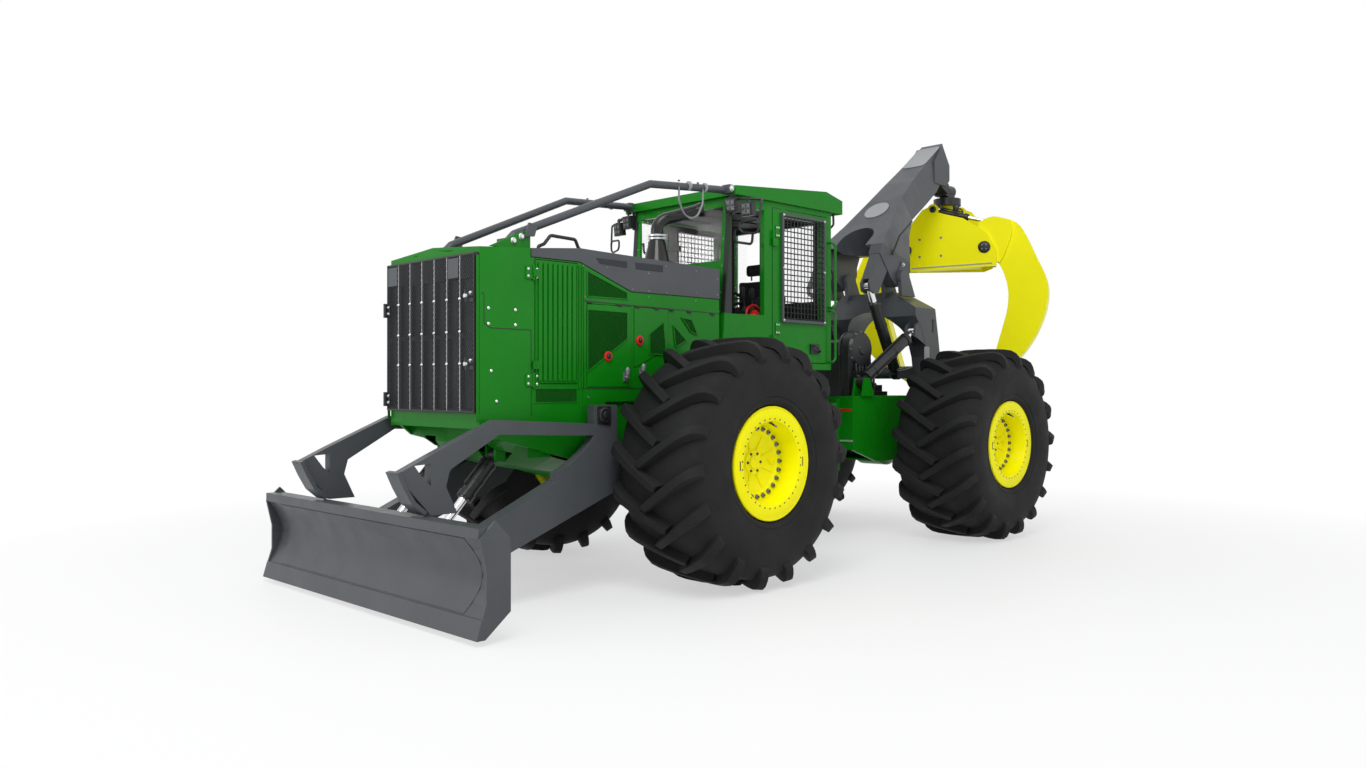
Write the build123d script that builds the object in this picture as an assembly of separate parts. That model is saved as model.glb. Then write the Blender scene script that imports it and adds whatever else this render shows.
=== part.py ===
from build123d import *
import os
from math import atan2, cos, degrees, hypot, pi, radians, sin

# Articulated forestry skidder with a front decking blade, a lean-back arch, a boom and a grapple.
# Millimetres. +Z is up, the machine faces -Y, and its left side is +X.
# Lengths along Y are counted from the front axle; the whole machine is centred at the end.

# ---- Overall sizes ----
WHEELBASE = 3755.0
TYRE_OD = 1960.0
TYRE_WIDTH = 905.0
TRACK = 2486.0                  # between the middles of the left and right tyres
PIVOT_Y = 2000.0                # articulation joint, behind the front axle
AXLE_Z = TYRE_OD / 2

# ---- Wheels ----
RIM_SEAT_R = 406.0              # 32 inch bead seat
RIM_FLANGE_R = RIM_SEAT_R + 36.0
RIM_WIDTH = 800.0
RIM_WALL = 14.0
TYRE_ON_RIM = 0.5
DISC_OFFSET = -70.0             # wheel disc, from the middle of the tyre
DISC_WALL = 24.0
HUB_R = 175.0
HUB_LENGTH = 190.0
SPINDLE_R = 90.0
SPINDLE_FIT = 1.0

# ---- Axles ----
AXLE_TUBE_R = 150.0
AXLE_BOWL_R = 285.0
AXLE_BOWL_LENGTH = 420.0
AXLE_END = TRACK / 2 - 143.0      # half length over the brake housings
BRAKE_R = 235.0
BRAKE_LENGTH = 150.0
AXLE_PAD_HALF = 180.0

# ---- Chassis ----
FRAME_PLATE = 30.0
FRAME_TOP = 1450.0
AXLE_SEAT_Z = AXLE_Z + 270.0
HINGE_PLATE = 60.0
HINGE_R = 160.0
HINGE_PIN_R = 50.0
PIN_FIT = 0.5
ROD_FIT = 0.5
UPPER_HINGE_Z = 1280.0
LOWER_HINGE_Z = 780.0
HINGE_GAP = 6.0
STEER_Z = 1090.0
TIE_R = 30.0
TIE_PLATE = 30.0
TIE_FRONT = (650.0, 1000.0)     # tie-down eyes are (x, y), with their holes upright
TIE_FRONT_Z = 915.0
TIE_REAR = (485.0, WHEELBASE + 905.0)
TIE_REAR_Z = 1065.0
STEER_BASE = (360.0, 850.0)     # points of the steering rams are (x, y)
STEER_EYE = (330.0, 2040.0)
STEER_LUG_GAP = 62.0            # from the middle of the ram to each lug

# ---- Bonnet and engine bay ----
BAY_HALF = 615.0
SHEET = 25.0
SEAT_GAP = 0.3                  # between faces that rest on each other
FRAME_HALF = BAY_HALF - SHEET - SEAT_GAP
NOSE_Y = -1970.0
NOSE_BOTTOM = 1270.0
NOSE_TOP = 2563.0
RIDGE_RISE = 45.0
GRILLE_BOTTOM = 1384.0
GRILLE_TOP = 2522.0
NOSE_END_Y = -1034.0
SKIRT_FRONT = 1189.0
SKIRT_REAR = 993.0
CAP_Y = -1526.0
CAP_TOP = 2592.0
KINK_Y = -1064.0
KINK_TOP = 2633.0
BONNET_END_Y = 500.0
BONNET_END_TOP = 2592.0
BONNET_SIDE_FRONT = 2529.0
BONNET_SIDE_Y = -534.0
BONNET_SIDE_LOW = 2335.0
BONNET_LIP = 5.0
LOUVRE_FRONT_Y = -1490.0
LOUVRE_REAR_Y = -1083.0
LOUVRE_BOTTOM = 1590.0
LOUVRE_TOP = 2515.0
PANEL_TOP = 2215.0
PANEL_BOTTOM = 1565.0
PANEL_SPLIT_Y = -520.0
PANEL_END_Y = -118.0
PANEL_GAP = 5.0
PANEL_DEPTH = 15.0              # panel's back face, from the outside of the bay

GUARD_R = 32.0
EXHAUST_XY = (300.0, 50.0)

GRILLE_HINGE = (-BAY_HALF - 6.0, NOSE_Y - 14.0)
LOUVRE_HINGE = (BAY_HALF + 16.0, LOUVRE_FRONT_Y - 12.0)

# ---- Cab ----
CAB_HALF = 700.0
CAB_FRONT_HALF = 620.0
CAB_FLOOR = 1730.0
CAB_TOP = 3250.0
CAB_SEAMS = (2205.0, 3175.0)
CAB_FRONT_LOW = 525.0
CAB_FRONT_HIGH = 645.0
CAB_CORNER_Y = 1050.0
CAB_REAR_Y = 1990.0
CAB_WALL = 45.0
DOOR_FRONT_Y = 1110.0
DOOR_REAR_Y = 1925.0
DOOR_BOTTOM = 1790.0
DOOR_TOP = 3200.0
DOOR_GAP = 6.0
DOOR_WINDOW = (1262.0, 1838.0, 2196.0, 3130.0)
DOOR_HINGE = (CAB_HALF + 18.0, DOOR_FRONT_Y + 2.0)
DOOR_KNUCKLES = (1900.0, 2850.0)
KNUCKLE = 70.0
ROOF_HALF = 722.0
ROOF_FRONT_Y = 600.0
ROOF_REAR_Y = 2145.0

# ---- Blade ----
BLADE_HALF = 1530.0
BLADE_LOW = 38.0
BLADE_TOP = 713.0
BLADE_BACK = -2369.0            # seam between the blade's beam and its arms
BLADE_PIVOT = (-720.0, 1000.0)
ARM_IN = 640.0
ARM_OUT = 760.0
BLADE_CYL_BASE = (-1640.0, 1060.0)
BLADE_CYL_EYE = (-2130.0, 520.0)
BLADE_CYL_X = 330.0

# ---- Rear frame, arch, boom and grapple: points are (y, z) ----
REAR_BOX_Y = PIVOT_Y + 500.0
REAR_TAIL_Y = WHEELBASE + 845.0
ARCH_PIVOT = (WHEELBASE + 265.0, 1590.0)
ARCH_CYL_BASE = (WHEELBASE - 1045.0, 1620.0)
ARCH_CYL_EYE = (WHEELBASE - 95.0, 2170.0)
ARCH_CYL_X = 550.0
ARCH_HALF = 620.0
ARCH_LEG = 215.0
CROWN_Z = 2400.0
CROWN_TOP = 2612.0
BOOM_PIVOT = (WHEELBASE - 155.0, 2760.0)
BOOM_CYL_BASE = (WHEELBASE - 135.0, 1700.0)
BOOM_CYL_EYE = (WHEELBASE - 655.0, 2640.0)
BOOM_CYL_X = 360.0
LEG_INNER = 210.0               # half the opening between the boom's legs
HANGER_PIN = (WHEELBASE + 1175.0, 4110.0)
GRAPPLE_Y = WHEELBASE + 1525.0
SWAY_Z = 3985.0
ROTATOR_LOW = 3800.0            # face that the grapple turns under
GRAPPLE_YAW = 22.0
WINCH_AXIS = (WHEELBASE - 895.0, 1960.0)
TONG_PIVOT = (470.0, 3250.0)
TONG_EAR = (570.0, 3550.0)
RAM_ANCHOR = (-140.0, 3740.0)
TONG_RAM_Y = -108.0
HEAD_HALF = 205.0
HEAD_PLATE = 28.0
TONG_HALF = 135.0
KNUCKLE_HALF = 171.0

# ---- Travel in degrees from the stored pose ----
BLADE_RANGE = (-14.0, 7.0)      # raised, lowered below the wheels
ARCH_RANGE = (0.0, 45.0)        # upright, leaned back
BOOM_RANGE = (-65.0, 5.0)       # lowered, raised
TONG_RANGE = (-12.0, 45.0)      # closed, open

# ---- Hydraulic rams: radii, half width of the eye, barrel's share of the length, rod kept inside ----
BLADE_RAM = {
    "barrel_r": 55, "rod_r": 32, "eye_r": 45, "eye_half": 38, "pin_r": 28, "share": 0.56, "rod_in": 150,
}
ARCH_RAM = {
    "barrel_r": 62, "rod_r": 36, "eye_r": 52, "eye_half": 40, "pin_r": 30, "share": 0.85, "rod_in": 700,
}
BOOM_RAM = {
    "barrel_r": 62, "rod_r": 36, "eye_r": 52, "eye_half": 32, "pin_r": 30, "share": 0.82, "rod_in": 600,
}
STEER_RAM = {
    "barrel_r": 48, "rod_r": 28, "eye_r": 42, "eye_half": 34, "pin_r": 25, "share": 0.69, "rod_in": 420,
}
TONG_RAM = {
    "barrel_r": 38, "rod_r": 24, "eye_r": 40, "eye_half": 30, "pin_r": 25, "share": 0.58, "rod_in": 100,
}


# ---------------------------------------------------------------- helpers
def block(x0, x1, y0, y1, z0, z1):
    return Pos((x0 + x1) / 2, (y0 + y1) / 2, (z0 + z1) / 2) * Box(x1 - x0, y1 - y0, z1 - z0)


def side_plate(outline, x0, x1):
    """Plate standing fore and aft: outline of (y, z), from x0 to x1."""
    edge = Polyline(*[(x0, y, z) for y, z in outline], close=True)
    return extrude(make_face(edge), amount=x1 - x0, dir=(1, 0, 0))


def cross_plate(outline, y0, y1):
    """Plate standing across: outline of (x, z), from y0 to y1."""
    edge = Polyline(*[(x, y0, z) for x, z in outline], close=True)
    return extrude(make_face(edge), amount=y1 - y0, dir=(0, 1, 0))


def deck_plate(outline, z0, z1):
    """Plate lying flat: outline of (x, y), from z0 to z1."""
    edge = Polyline(*[(x, y, z0) for x, y in outline], close=True)
    return extrude(make_face(edge), amount=z1 - z0, dir=(0, 0, 1))


def cyl_x(y, z, r, x0, x1):
    return Pos((x0 + x1) / 2, y, z) * Rot(0, 90, 0) * Cylinder(r, x1 - x0)


def cyl_y(x, z, r, y0, y1):
    return Pos(x, (y0 + y1) / 2, z) * Rot(90, 0, 0) * Cylinder(r, y1 - y0)


def cyl_z(x, y, r, z0, z1):
    return Pos(x, y, (z0 + z1) / 2) * Cylinder(r, z1 - z0)


def mirrored(shape):
    return mirror(shape, about=Plane.YZ)


def both(shape):
    return shape + mirrored(shape)


def joined(pieces):
    result = pieces[0]
    for piece in pieces[1:]:
        result = result + piece
    return result


def turned(profile):
    """Solid of revolution about the X axis from an outline of (x, radius)."""
    edge = Polyline(*[(x, r, 0) for x, r in profile], close=True)
    return revolve(make_face(edge), axis=Axis.X)


def tube_run(points, radius, bend):
    path = FilletPolyline(*points, radius=bend)
    start = Plane(origin=path @ 0, z_dir=path % 0)
    return sweep(start * Circle(radius), path=path)


def ram_parts(base, eye, pin_axis, size):
    """Hydraulic ram from its base pin to its rod eye, both (x, y, z), with pins along pin_axis.

    size holds barrel, rod and eye radii, half the eye's width, the pin's radius, and the share
    of the pin-to-pin length that the barrel takes.
    """
    along = Vector(*eye) - Vector(*base)
    length = along.length
    place = Plane(origin=base, x_dir=pin_axis, z_dir=along)
    across = Rot(0, 90, 0)
    eye_r = size["eye_r"]
    eye_width = 2 * size["eye_half"]
    pin_hole = across * Cylinder(size["pin_r"] + PIN_FIT, 2 * eye_width)
    barrel_r = size["barrel_r"]
    barrel_end = length * size["share"]
    barrel_start = eye_r + 30.0
    neck_r = size["eye_half"] * 0.85
    barrel = Pos(0, 0, (barrel_start + barrel_end) / 2) * Cylinder(barrel_r, barrel_end - barrel_start)
    barrel = barrel + Pos(0, 0, barrel_start / 2 + 10) * Cylinder(neck_r, barrel_start)
    gland = Pos(0, 0, barrel_end - barrel_r * 0.35) * Cylinder(barrel_r * 1.12, barrel_r * 0.7)
    barrel = barrel + gland + across * Cylinder(eye_r, eye_width) - pin_hole
    bore_start = barrel_start + 20.0
    bore = Pos(0, 0, (bore_start + length) / 2) * Cylinder(size["rod_r"] + ROD_FIT, length - bore_start)
    rod_start = barrel_end - size["rod_in"]
    rod_end = length - eye_r * 0.6
    rod = Pos(0, 0, (rod_start + rod_end) / 2) * Cylinder(size["rod_r"], rod_end - rod_start)
    rod = rod + Pos(0, 0, length) * across * Cylinder(eye_r, eye_width) - Pos(0, 0, length) * pin_hole
    return place * (barrel - bore), place * rod


# ---------------------------------------------------------------- wheels
def tyre_at(x_middle, y):
    half = TYRE_WIDTH / 2
    seat = RIM_SEAT_R + TYRE_ON_RIM
    bead = RIM_WIDTH / 2 - RIM_WALL - TYRE_ON_RIM
    right = [
        (bead, seat),
        (bead, RIM_FLANGE_R + 6),
        (bead + 22, RIM_FLANGE_R + 30),
        (half, AXLE_Z - 280),
        (half * 0.97, AXLE_Z - 130),
        (half * 0.90, AXLE_Z - 30),
        (half * 0.80, AXLE_Z),
    ]
    left = [(-x, r) for x, r in reversed(right)]
    return Pos(x_middle, y, AXLE_Z) * turned(right + left)


def rim_at(side, y):
    half = RIM_WIDTH / 2
    seat = RIM_SEAT_R
    inner = RIM_SEAT_R - RIM_WALL
    barrel = turned([
        (-half, RIM_FLANGE_R), (-half, inner), (half, inner), (half, RIM_FLANGE_R),
        (half - RIM_WALL, RIM_FLANGE_R), (half - RIM_WALL, seat),
        (-half + RIM_WALL, seat), (-half + RIM_WALL, RIM_FLANGE_R),
    ])
    disc = turned([
        (DISC_OFFSET, SPINDLE_R + SPINDLE_FIT),
        (DISC_OFFSET, HUB_R + 40),
        (DISC_OFFSET - 30, HUB_R + 90),
        (DISC_OFFSET - 30, inner + 2),
        (DISC_OFFSET - 30 + DISC_WALL, inner + 2),
        (DISC_OFFSET + DISC_WALL, HUB_R + 90),
        (DISC_OFFSET + DISC_WALL, HUB_R),
        (DISC_OFFSET + HUB_LENGTH - 40, HUB_R),
        (DISC_OFFSET + HUB_LENGTH, HUB_R - 40),
        (DISC_OFFSET + HUB_LENGTH, 0),
        (DISC_OFFSET + HUB_LENGTH - 30, 0),
        (DISC_OFFSET + HUB_LENGTH - 30, SPINDLE_R + SPINDLE_FIT),
    ])
    wheel = barrel + disc
    if side < 0:
        wheel = mirrored(wheel)
    return Pos(side * TRACK / 2, y, AXLE_Z) * wheel


def axle_at(y):
    hub_end = TRACK / 2 + DISC_OFFSET + HUB_LENGTH - 30 - 8
    tube = cyl_x(y, AXLE_Z, AXLE_TUBE_R, -AXLE_END + 10, AXLE_END - 10)
    bowl = cyl_x(y, AXLE_Z, AXLE_BOWL_R, -AXLE_BOWL_LENGTH / 2, AXLE_BOWL_LENGTH / 2)
    bowl = chamfer(bowl.edges().filter_by(GeomType.CIRCLE), 60)
    brake = cyl_x(y, AXLE_Z, BRAKE_R, AXLE_END - BRAKE_LENGTH, AXLE_END)
    spindle = cyl_x(y, AXLE_Z, SPINDLE_R, AXLE_END - 10, hub_end)
    pad = block(380, FRAME_HALF - 10, y - AXLE_PAD_HALF, y + AXLE_PAD_HALF, AXLE_Z, AXLE_SEAT_Z)
    return tube + bowl + both(brake) + both(spindle) + both(pad)


# ---------------------------------------------------------------- front chassis
def front_frame():
    """Side plates with their cross members, each a plate of its own, and the brackets that they carry."""
    gap = SEAT_GAP
    inside = FRAME_HALF - FRAME_PLATE - gap
    side = side_plate([
        (-1800, 1190), (-1034, 993), (-600, 800), (-390, 800), (-300, AXLE_SEAT_Z),
        (300, AXLE_SEAT_Z), (390, 800), (900, 800), (1150, 900), (1150, FRAME_TOP),
        (CAP_Y + 30, FRAME_TOP), (CAP_Y + 30, NOSE_BOTTOM - gap), (-1800, NOSE_BOTTOM - gap),
    ], FRAME_HALF - FRAME_PLATE, FRAME_HALF)
    # trunnions that the blade frame swings on
    py, pz = BLADE_PIVOT
    side = side + cyl_x(py, pz, 95, FRAME_HALF - 1, ARM_IN - 6)
    side = side + cyl_x(py, pz, 50, FRAME_HALF - 1, ARM_OUT + 10)
    # nose shelf with the clevises of the blade rams
    nose = block(-inside, inside, -1800, -1770, 1190, NOSE_BOTTOM - gap)
    nose = nose + block(-inside, inside, -1800, -1560, 1190, 1215)
    y, z = BLADE_CYL_BASE
    for ear in (-70, 45):
        low = BLADE_CYL_X + ear
        nose = nose + both(block(low, low + 25, y - 45, y + 45, z - 45, 1215))
    nose = nose + both(cyl_x(y, z, 28, BLADE_CYL_X - 70, BLADE_CYL_X + 70))
    tie = block(-inside, inside, -1060, -1030, 1010, 1250)
    front_seat = block(-inside, inside, -480, -450, 810, AXLE_SEAT_Z)
    rear_seat = block(-inside, inside, 420, 450, 810, AXLE_SEAT_Z + 60)
    # beam with the clevises of the steering rams
    sx, sy = STEER_BASE
    beam = block(-inside, inside, sy - 90, sy - 58, 900, STEER_Z + 90)
    for z in (STEER_Z - 65, STEER_Z + 40):
        beam = beam + both(block(sx - 45, sx + 45, sy - 45, sy + 45, z, z + 25))
    beam = beam + both(cyl_z(sx, sy, 25, STEER_Z - 65, STEER_Z + 65))
    beam = beam + both(block(sx - 60, sx + 60, sy - 60, sy + 60, STEER_Z + 64, STEER_Z + 90))
    beam = beam + both(block(sx - 60, sx + 60, sy - 60, sy - 46, STEER_Z - 65, STEER_Z + 65))
    # bulkhead, built up from bars round the two windows that the steering rams pass through
    low, high = STEER_Z - 65, STEER_Z + 65
    bulkhead = block(-inside, inside, 1120, 1150, 900, low)
    bulkhead = bulkhead + block(-inside, inside, 1120, 1150, high, FRAME_TOP)
    bulkhead = bulkhead + block(80 - sx, sx - 80, 1120, 1150, low + gap, high - gap)
    bulkhead = bulkhead + both(block(sx + 80, inside, 1120, 1150, low + gap, high - gap))
    deck = block(-FRAME_HALF, FRAME_HALF, BONNET_END_Y + 10, 1700, FRAME_TOP + gap, FRAME_TOP + 25)
    for y in (620, 1560):
        deck = deck + both(cyl_z(450, y, 60, FRAME_TOP + 25, CAB_FLOOR))
    frame = both(side) + nose + tie + front_seat + rear_seat + beam + bulkhead + deck
    for y in (-700, 200):
        frame = frame + block(-inside, inside, y, y + 60, AXLE_SEAT_Z + 5, AXLE_SEAT_Z + 60)
    for z in (UPPER_HINGE_Z, LOWER_HINGE_Z):
        tongue = block(-250, 250, 1150 + gap, 1760, z, z + HINGE_PLATE)
        neck = deck_plate(
            [(-250, 1760), (250, 1760), (HINGE_R, PIVOT_Y), (-HINGE_R, PIVOT_Y)], z, z + HINGE_PLATE,
        )
        tongue = tongue + neck + cyl_z(0, PIVOT_Y, HINGE_R, z, z + HINGE_PLATE)
        frame = frame + (tongue - cyl_z(0, PIVOT_Y, HINGE_PIN_R + PIN_FIT, z - 5, z + HINGE_PLATE + 5))
    rail = block(150, 180, 1150 + gap, 1560, LOWER_HINGE_Z + HINGE_PLATE + gap, UPPER_HINGE_Z - gap)
    tx, ty = TIE_FRONT
    eye = block(FRAME_HALF + gap, tx + 55, ty - 60, ty + 60, TIE_FRONT_Z, TIE_FRONT_Z + TIE_PLATE)
    eye = eye - cyl_z(tx, ty, TIE_R, TIE_FRONT_Z - 5, TIE_FRONT_Z + TIE_PLATE + 5)
    return frame + both(rail) + both(eye)


def belly_guard():
    """Hull-shaped pan under the engine: sloped sides and a sloped front, open at the top."""
    top = FRAME_HALF - FRAME_PLATE - SEAT_GAP
    keel = top - 255
    wall = 15
    shelf = 1190 - SEAT_GAP
    stations = [
        # y, height of the rim, height of the keel
        (-1790, shelf, 1150),
        (-1700, shelf, 1050),
        (-1560, shelf, 1005),
        (-1280, 1040, 935),
        (-980, 960, 880),
        (-500, 795, 745),
    ]

    def section(y, rim, low, inset):
        points = [(-top + inset, rim), (-keel + inset, low), (keel - inset, low), (top - inset, rim)]
        return make_face(Polyline(*[(x, y, z) for x, z in points], close=True))

    outer = loft([section(y, rim, low, 0) for y, rim, low in stations], ruled=True)
    inner = loft([section(y, rim + 1, low + wall, wall) for y, rim, low in stations], ruled=True)
    pan = outer - (inner & block(-top, top, -1775, -500, 600, 1300))
    windows = block(BLADE_CYL_X - 78, BLADE_CYL_X + 78, -1810, -1540, 900, 1300)
    seam = block(220, 220 + SEAT_GAP, -1810, -490, 700, 1300)
    pan = pan - both(windows) - both(seam)
    tabs = block(top - wall, top, -1500, -1300, 1042, 1115) + block(top - wall, top, -900, -800, 890, 935)
    rear = block(-FRAME_HALF + 10, FRAME_HALF - 10, 480, 1100, 780, 800 - SEAT_GAP)
    return pan + both(tabs) + rear


def engine_block():
    return block(-300, 300, -900, 350, AXLE_SEAT_Z + 60 + SEAT_GAP, 2150)


# ---------------------------------------------------------------- bonnet and engine bay
def gable(y, half, low, corner, ridge):
    points = [(-half, y, low), (half, y, low), (half, y, corner), (0, y, ridge), (-half, y, corner)]
    return make_face(Polyline(*points, close=True))


def gable_body(stations):
    """Ruled body through (y, half width, bottom, corner height, ridge height)."""
    return loft([gable(*station) for station in stations], ruled=True)


def bonnet_side(y):
    """Height of the bonnet's lower side edge at y."""
    share = (y - KINK_Y) / (BONNET_SIDE_Y - KINK_Y)
    share = min(1.0, max(0.0, share))
    return BONNET_SIDE_FRONT + share * (BONNET_SIDE_LOW - BONNET_SIDE_FRONT)


def bonnet_stations():
    half = BAY_HALF + BONNET_LIP
    mid_top = KINK_TOP + (BONNET_END_TOP - KINK_TOP) * (BONNET_SIDE_Y - KINK_Y) / (BONNET_END_Y - KINK_Y)
    return [
        (CAP_Y + PANEL_GAP, half, BONNET_SIDE_FRONT, CAP_TOP, CAP_TOP + RIDGE_RISE),
        (KINK_Y, half, BONNET_SIDE_FRONT, KINK_TOP, KINK_TOP + RIDGE_RISE),
        (BONNET_SIDE_Y, half, BONNET_SIDE_LOW, mid_top, mid_top + RIDGE_RISE),
        (BONNET_END_Y, half, BONNET_SIDE_LOW, BONNET_END_TOP, BONNET_END_TOP + RIDGE_RISE),
    ]


def nose_stations():
    return [
        (NOSE_Y, BAY_HALF, NOSE_BOTTOM, NOSE_TOP, NOSE_TOP + RIDGE_RISE),
        (CAP_Y, BAY_HALF, NOSE_BOTTOM, CAP_TOP, CAP_TOP + RIDGE_RISE),
    ]


def radiator_housing():
    t = SHEET
    outer = gable_body(nose_stations())
    inner = gable_body([
        (NOSE_Y - 1, BAY_HALF - t, NOSE_BOTTOM + t, NOSE_TOP - t, NOSE_TOP + RIDGE_RISE - t),
        (CAP_Y + 1, BAY_HALF - t, NOSE_BOTTOM + t, CAP_TOP - t, CAP_TOP + RIDGE_RISE - t),
    ])
    shell = outer - inner
    front = block(-BAY_HALF + 2, BAY_HALF - 2, NOSE_Y, NOSE_Y + t, NOSE_BOTTOM + 2, NOSE_TOP - 2)
    front = front - block(
        -BAY_HALF + 60, BAY_HALF - 60, NOSE_Y - 5, NOSE_Y + t + 5, GRILLE_BOTTOM + 30, GRILLE_TOP - 30,
    )
    shell = shell + front
    side = side_plate([
        (NOSE_Y + 70, NOSE_BOTTOM), (-1800, SKIRT_FRONT), (NOSE_END_Y, SKIRT_REAR),
        (NOSE_END_Y, bonnet_side(NOSE_END_Y) - PANEL_GAP), (KINK_Y, BONNET_SIDE_FRONT - PANEL_GAP),
        (CAP_Y - 2, BONNET_SIDE_FRONT - PANEL_GAP), (CAP_Y - 2, NOSE_BOTTOM + t),
    ], BAY_HALF - t, BAY_HALF)
    side = side - block(
        BAY_HALF - t - 5, BAY_HALF + 5, LOUVRE_FRONT_Y, LOUVRE_REAR_Y, LOUVRE_BOTTOM, LOUVRE_TOP,
    )
    for k in range(4):
        z = 1460 + 26 * k
        side = side - block(
            BAY_HALF - t - 5, BAY_HALF + 5, LOUVRE_FRONT_Y + 12, LOUVRE_REAR_Y - 12, z, z + 13,
        )
    return shell + both(side)


def grille_door():
    half = BAY_HALF - 8
    y1 = NOSE_Y - SEAT_GAP
    y0 = y1 - 34
    frame = block(-half, half, y0, y1, GRILLE_BOTTOM, GRILLE_TOP)
    columns = 7
    pitch = (2 * half - 40) / columns
    for k in range(columns):
        x = -half + 20 + pitch * (k + 0.5)
        for z0, z1 in ((GRILLE_BOTTOM + 30, 1920), (1950, GRILLE_TOP - 180)):
            frame = frame - block(x - pitch / 2 + 14, x + pitch / 2 - 14, y0 - 5, y1 - 12, z0, z1)
    hx, hy = GRILLE_HINGE
    for z in (1500, 2330):
        frame = frame + block(hx, -half + 10, hy - 8, hy + 6, z, z + 70) + cyl_z(hx, hy, 14, z, z + 70)
    return frame


def louvre_door():
    g = PANEL_GAP
    x1 = BAY_HALF + 2
    panel = block(
        BAY_HALF - 18, x1, LOUVRE_FRONT_Y + g, LOUVRE_REAR_Y - g, LOUVRE_BOTTOM + g, LOUVRE_TOP - g,
    )
    count = 8
    pitch = (LOUVRE_REAR_Y - LOUVRE_FRONT_Y - 2 * g - 30) / count
    for k in range(count):
        y = LOUVRE_FRONT_Y + g + 15 + pitch * (k + 0.5)
        rib = side_plate([
            (y - pitch * 0.32, LOUVRE_BOTTOM + 25), (y + pitch * 0.32, LOUVRE_BOTTOM + 25),
            (y + pitch * 0.32, LOUVRE_TOP - 25), (y - pitch * 0.32, LOUVRE_TOP - 25),
        ], x1 - 1, x1 + 14)
        panel = panel + rib
    hx, hy = LOUVRE_HINGE
    for z in (1700, 2380):
        panel = panel + cyl_z(hx, hy, 12, z, z + 60)
        panel = panel + block(BAY_HALF + SEAT_GAP, hx + 4, hy, LOUVRE_FRONT_Y + 30, z, z + 60)
    return panel


def engine_bonnet():
    t = SHEET
    stations = bonnet_stations()
    outer = gable_body(stations)
    inner = gable_body([
        (y, half - t, low - 30, corner - t, ridge - t) for y, half, low, corner, ridge in stations
    ])
    rear = outer & block(-BAY_HALF, BAY_HALF, BONNET_END_Y - t, BONNET_END_Y, 2000, 3000)
    return (outer - inner) + rear


def bay_sides():
    t = SHEET
    start = NOSE_END_Y + 3
    outline = [
        (start, SKIRT_REAR), (-880, 955), (-800, FRAME_TOP + 2), (BONNET_END_Y, FRAME_TOP + 2),
        (BONNET_END_Y, BONNET_SIDE_LOW - PANEL_GAP), (BONNET_SIDE_Y, BONNET_SIDE_LOW - PANEL_GAP),
        (start, bonnet_side(start) - PANEL_GAP),
    ]
    side = side_plate(outline, BAY_HALF - t, BAY_HALF)
    # each window is stepped: the panel lies on a lip inside it
    for lip, x0, x1 in ((0, BAY_HALF - PANEL_DEPTH - SEAT_GAP, 900), (20, 0, 900)):
        front = block(
            x0, x1, NOSE_END_Y + 40 + lip, PANEL_SPLIT_Y - 15 - lip, PANEL_BOTTOM + lip, PANEL_TOP - lip)
        rear = side_plate([
            (PANEL_SPLIT_Y + 15 + lip, PANEL_BOTTOM + 150 + 2 * lip),
            (PANEL_SPLIT_Y + 15 + lip, PANEL_TOP - lip),
            (PANEL_END_Y - lip, PANEL_TOP - lip), (PANEL_END_Y - lip, 1880 + lip),
        ], x0, x1)
        side = side - front - rear
    # rail that the bonnet's skirt comes down over
    rail_z = BONNET_SIDE_LOW - 60
    rail = block(
        BAY_HALF - t - 25, BAY_HALF - t + 2, BONNET_SIDE_Y + 40, BONNET_END_Y - t - 5, rail_z, rail_z + 50,
    )
    tongue = block(
        BAY_HALF - t - 25, BAY_HALF + BONNET_LIP - t - SEAT_GAP,
        BONNET_SIDE_Y + 40, BONNET_END_Y - t - 5, rail_z, rail_z + 90)
    return both(side + rail + tongue)


def service_panels():
    g = PANEL_GAP
    x0 = BAY_HALF - PANEL_DEPTH
    x1 = BAY_HALF + 4
    front = block(x0, x1, NOSE_END_Y + 40 + g, PANEL_SPLIT_Y - 15 - g, PANEL_BOTTOM + g, PANEL_TOP - g)
    rear = side_plate([
        (PANEL_SPLIT_Y + 15 + g, PANEL_BOTTOM + 150 + 2 * g), (PANEL_SPLIT_Y + 15 + g, PANEL_TOP - g),
        (PANEL_END_Y - g, PANEL_TOP - g), (PANEL_END_Y - g, 1880 + g),
    ], x0, x1)
    return both(front + rear)


def raised(stations, gap):
    return [(y, half, low, corner + gap, ridge + gap) for y, half, low, corner, ridge in stations]


def brush_guard():
    run = tube_run([
        (430, -1600, 2650), (430, -1540, 2710), (556, -268, 3243),
        (612, 470, 3290), (628, ROOF_FRONT_Y - 6, 3292),
    ], GUARD_R, 20)
    foot = block(385, 475, -1665, -1545, 2500, 2665)
    foot = foot - gable_body(raised(nose_stations(), SEAT_GAP))
    return both(run + foot)


def exhaust_stack():
    """Boot on the bonnet and a bent pipe with an oblique, flared mouth."""
    x, y = EXHAUST_XY
    boot = Pos(x, y, 2715) * Cone(128, 66, 250)
    boot = boot - gable_body(raised(bonnet_stations(), SEAT_GAP))
    pipe = tube_run([(x, y, 2800), (x, y, 3000), (x + 190, y + 340, 3115)], 54, 120)
    mouth = Plane(origin=(x + 190, y + 340, 3115), z_dir=(190, 340, 115))
    flare = mouth * Pos(0, 0, -15) * Cone(54, 66, 60)
    bore = mouth * Cylinder(48, 160)
    return boot + pipe + flare - bore


# ---------------------------------------------------------------- cab
def cab_section(z, front_y, inset):
    h = CAB_HALF - inset
    f = CAB_FRONT_HALF - inset
    points = [
        (-f, front_y + inset, z), (f, front_y + inset, z), (h, CAB_CORNER_Y, z),
        (h, CAB_REAR_Y - inset, z), (-h, CAB_REAR_Y - inset, z), (-h, CAB_CORNER_Y, z),
    ]
    return make_face(Polyline(*points, close=True))


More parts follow.
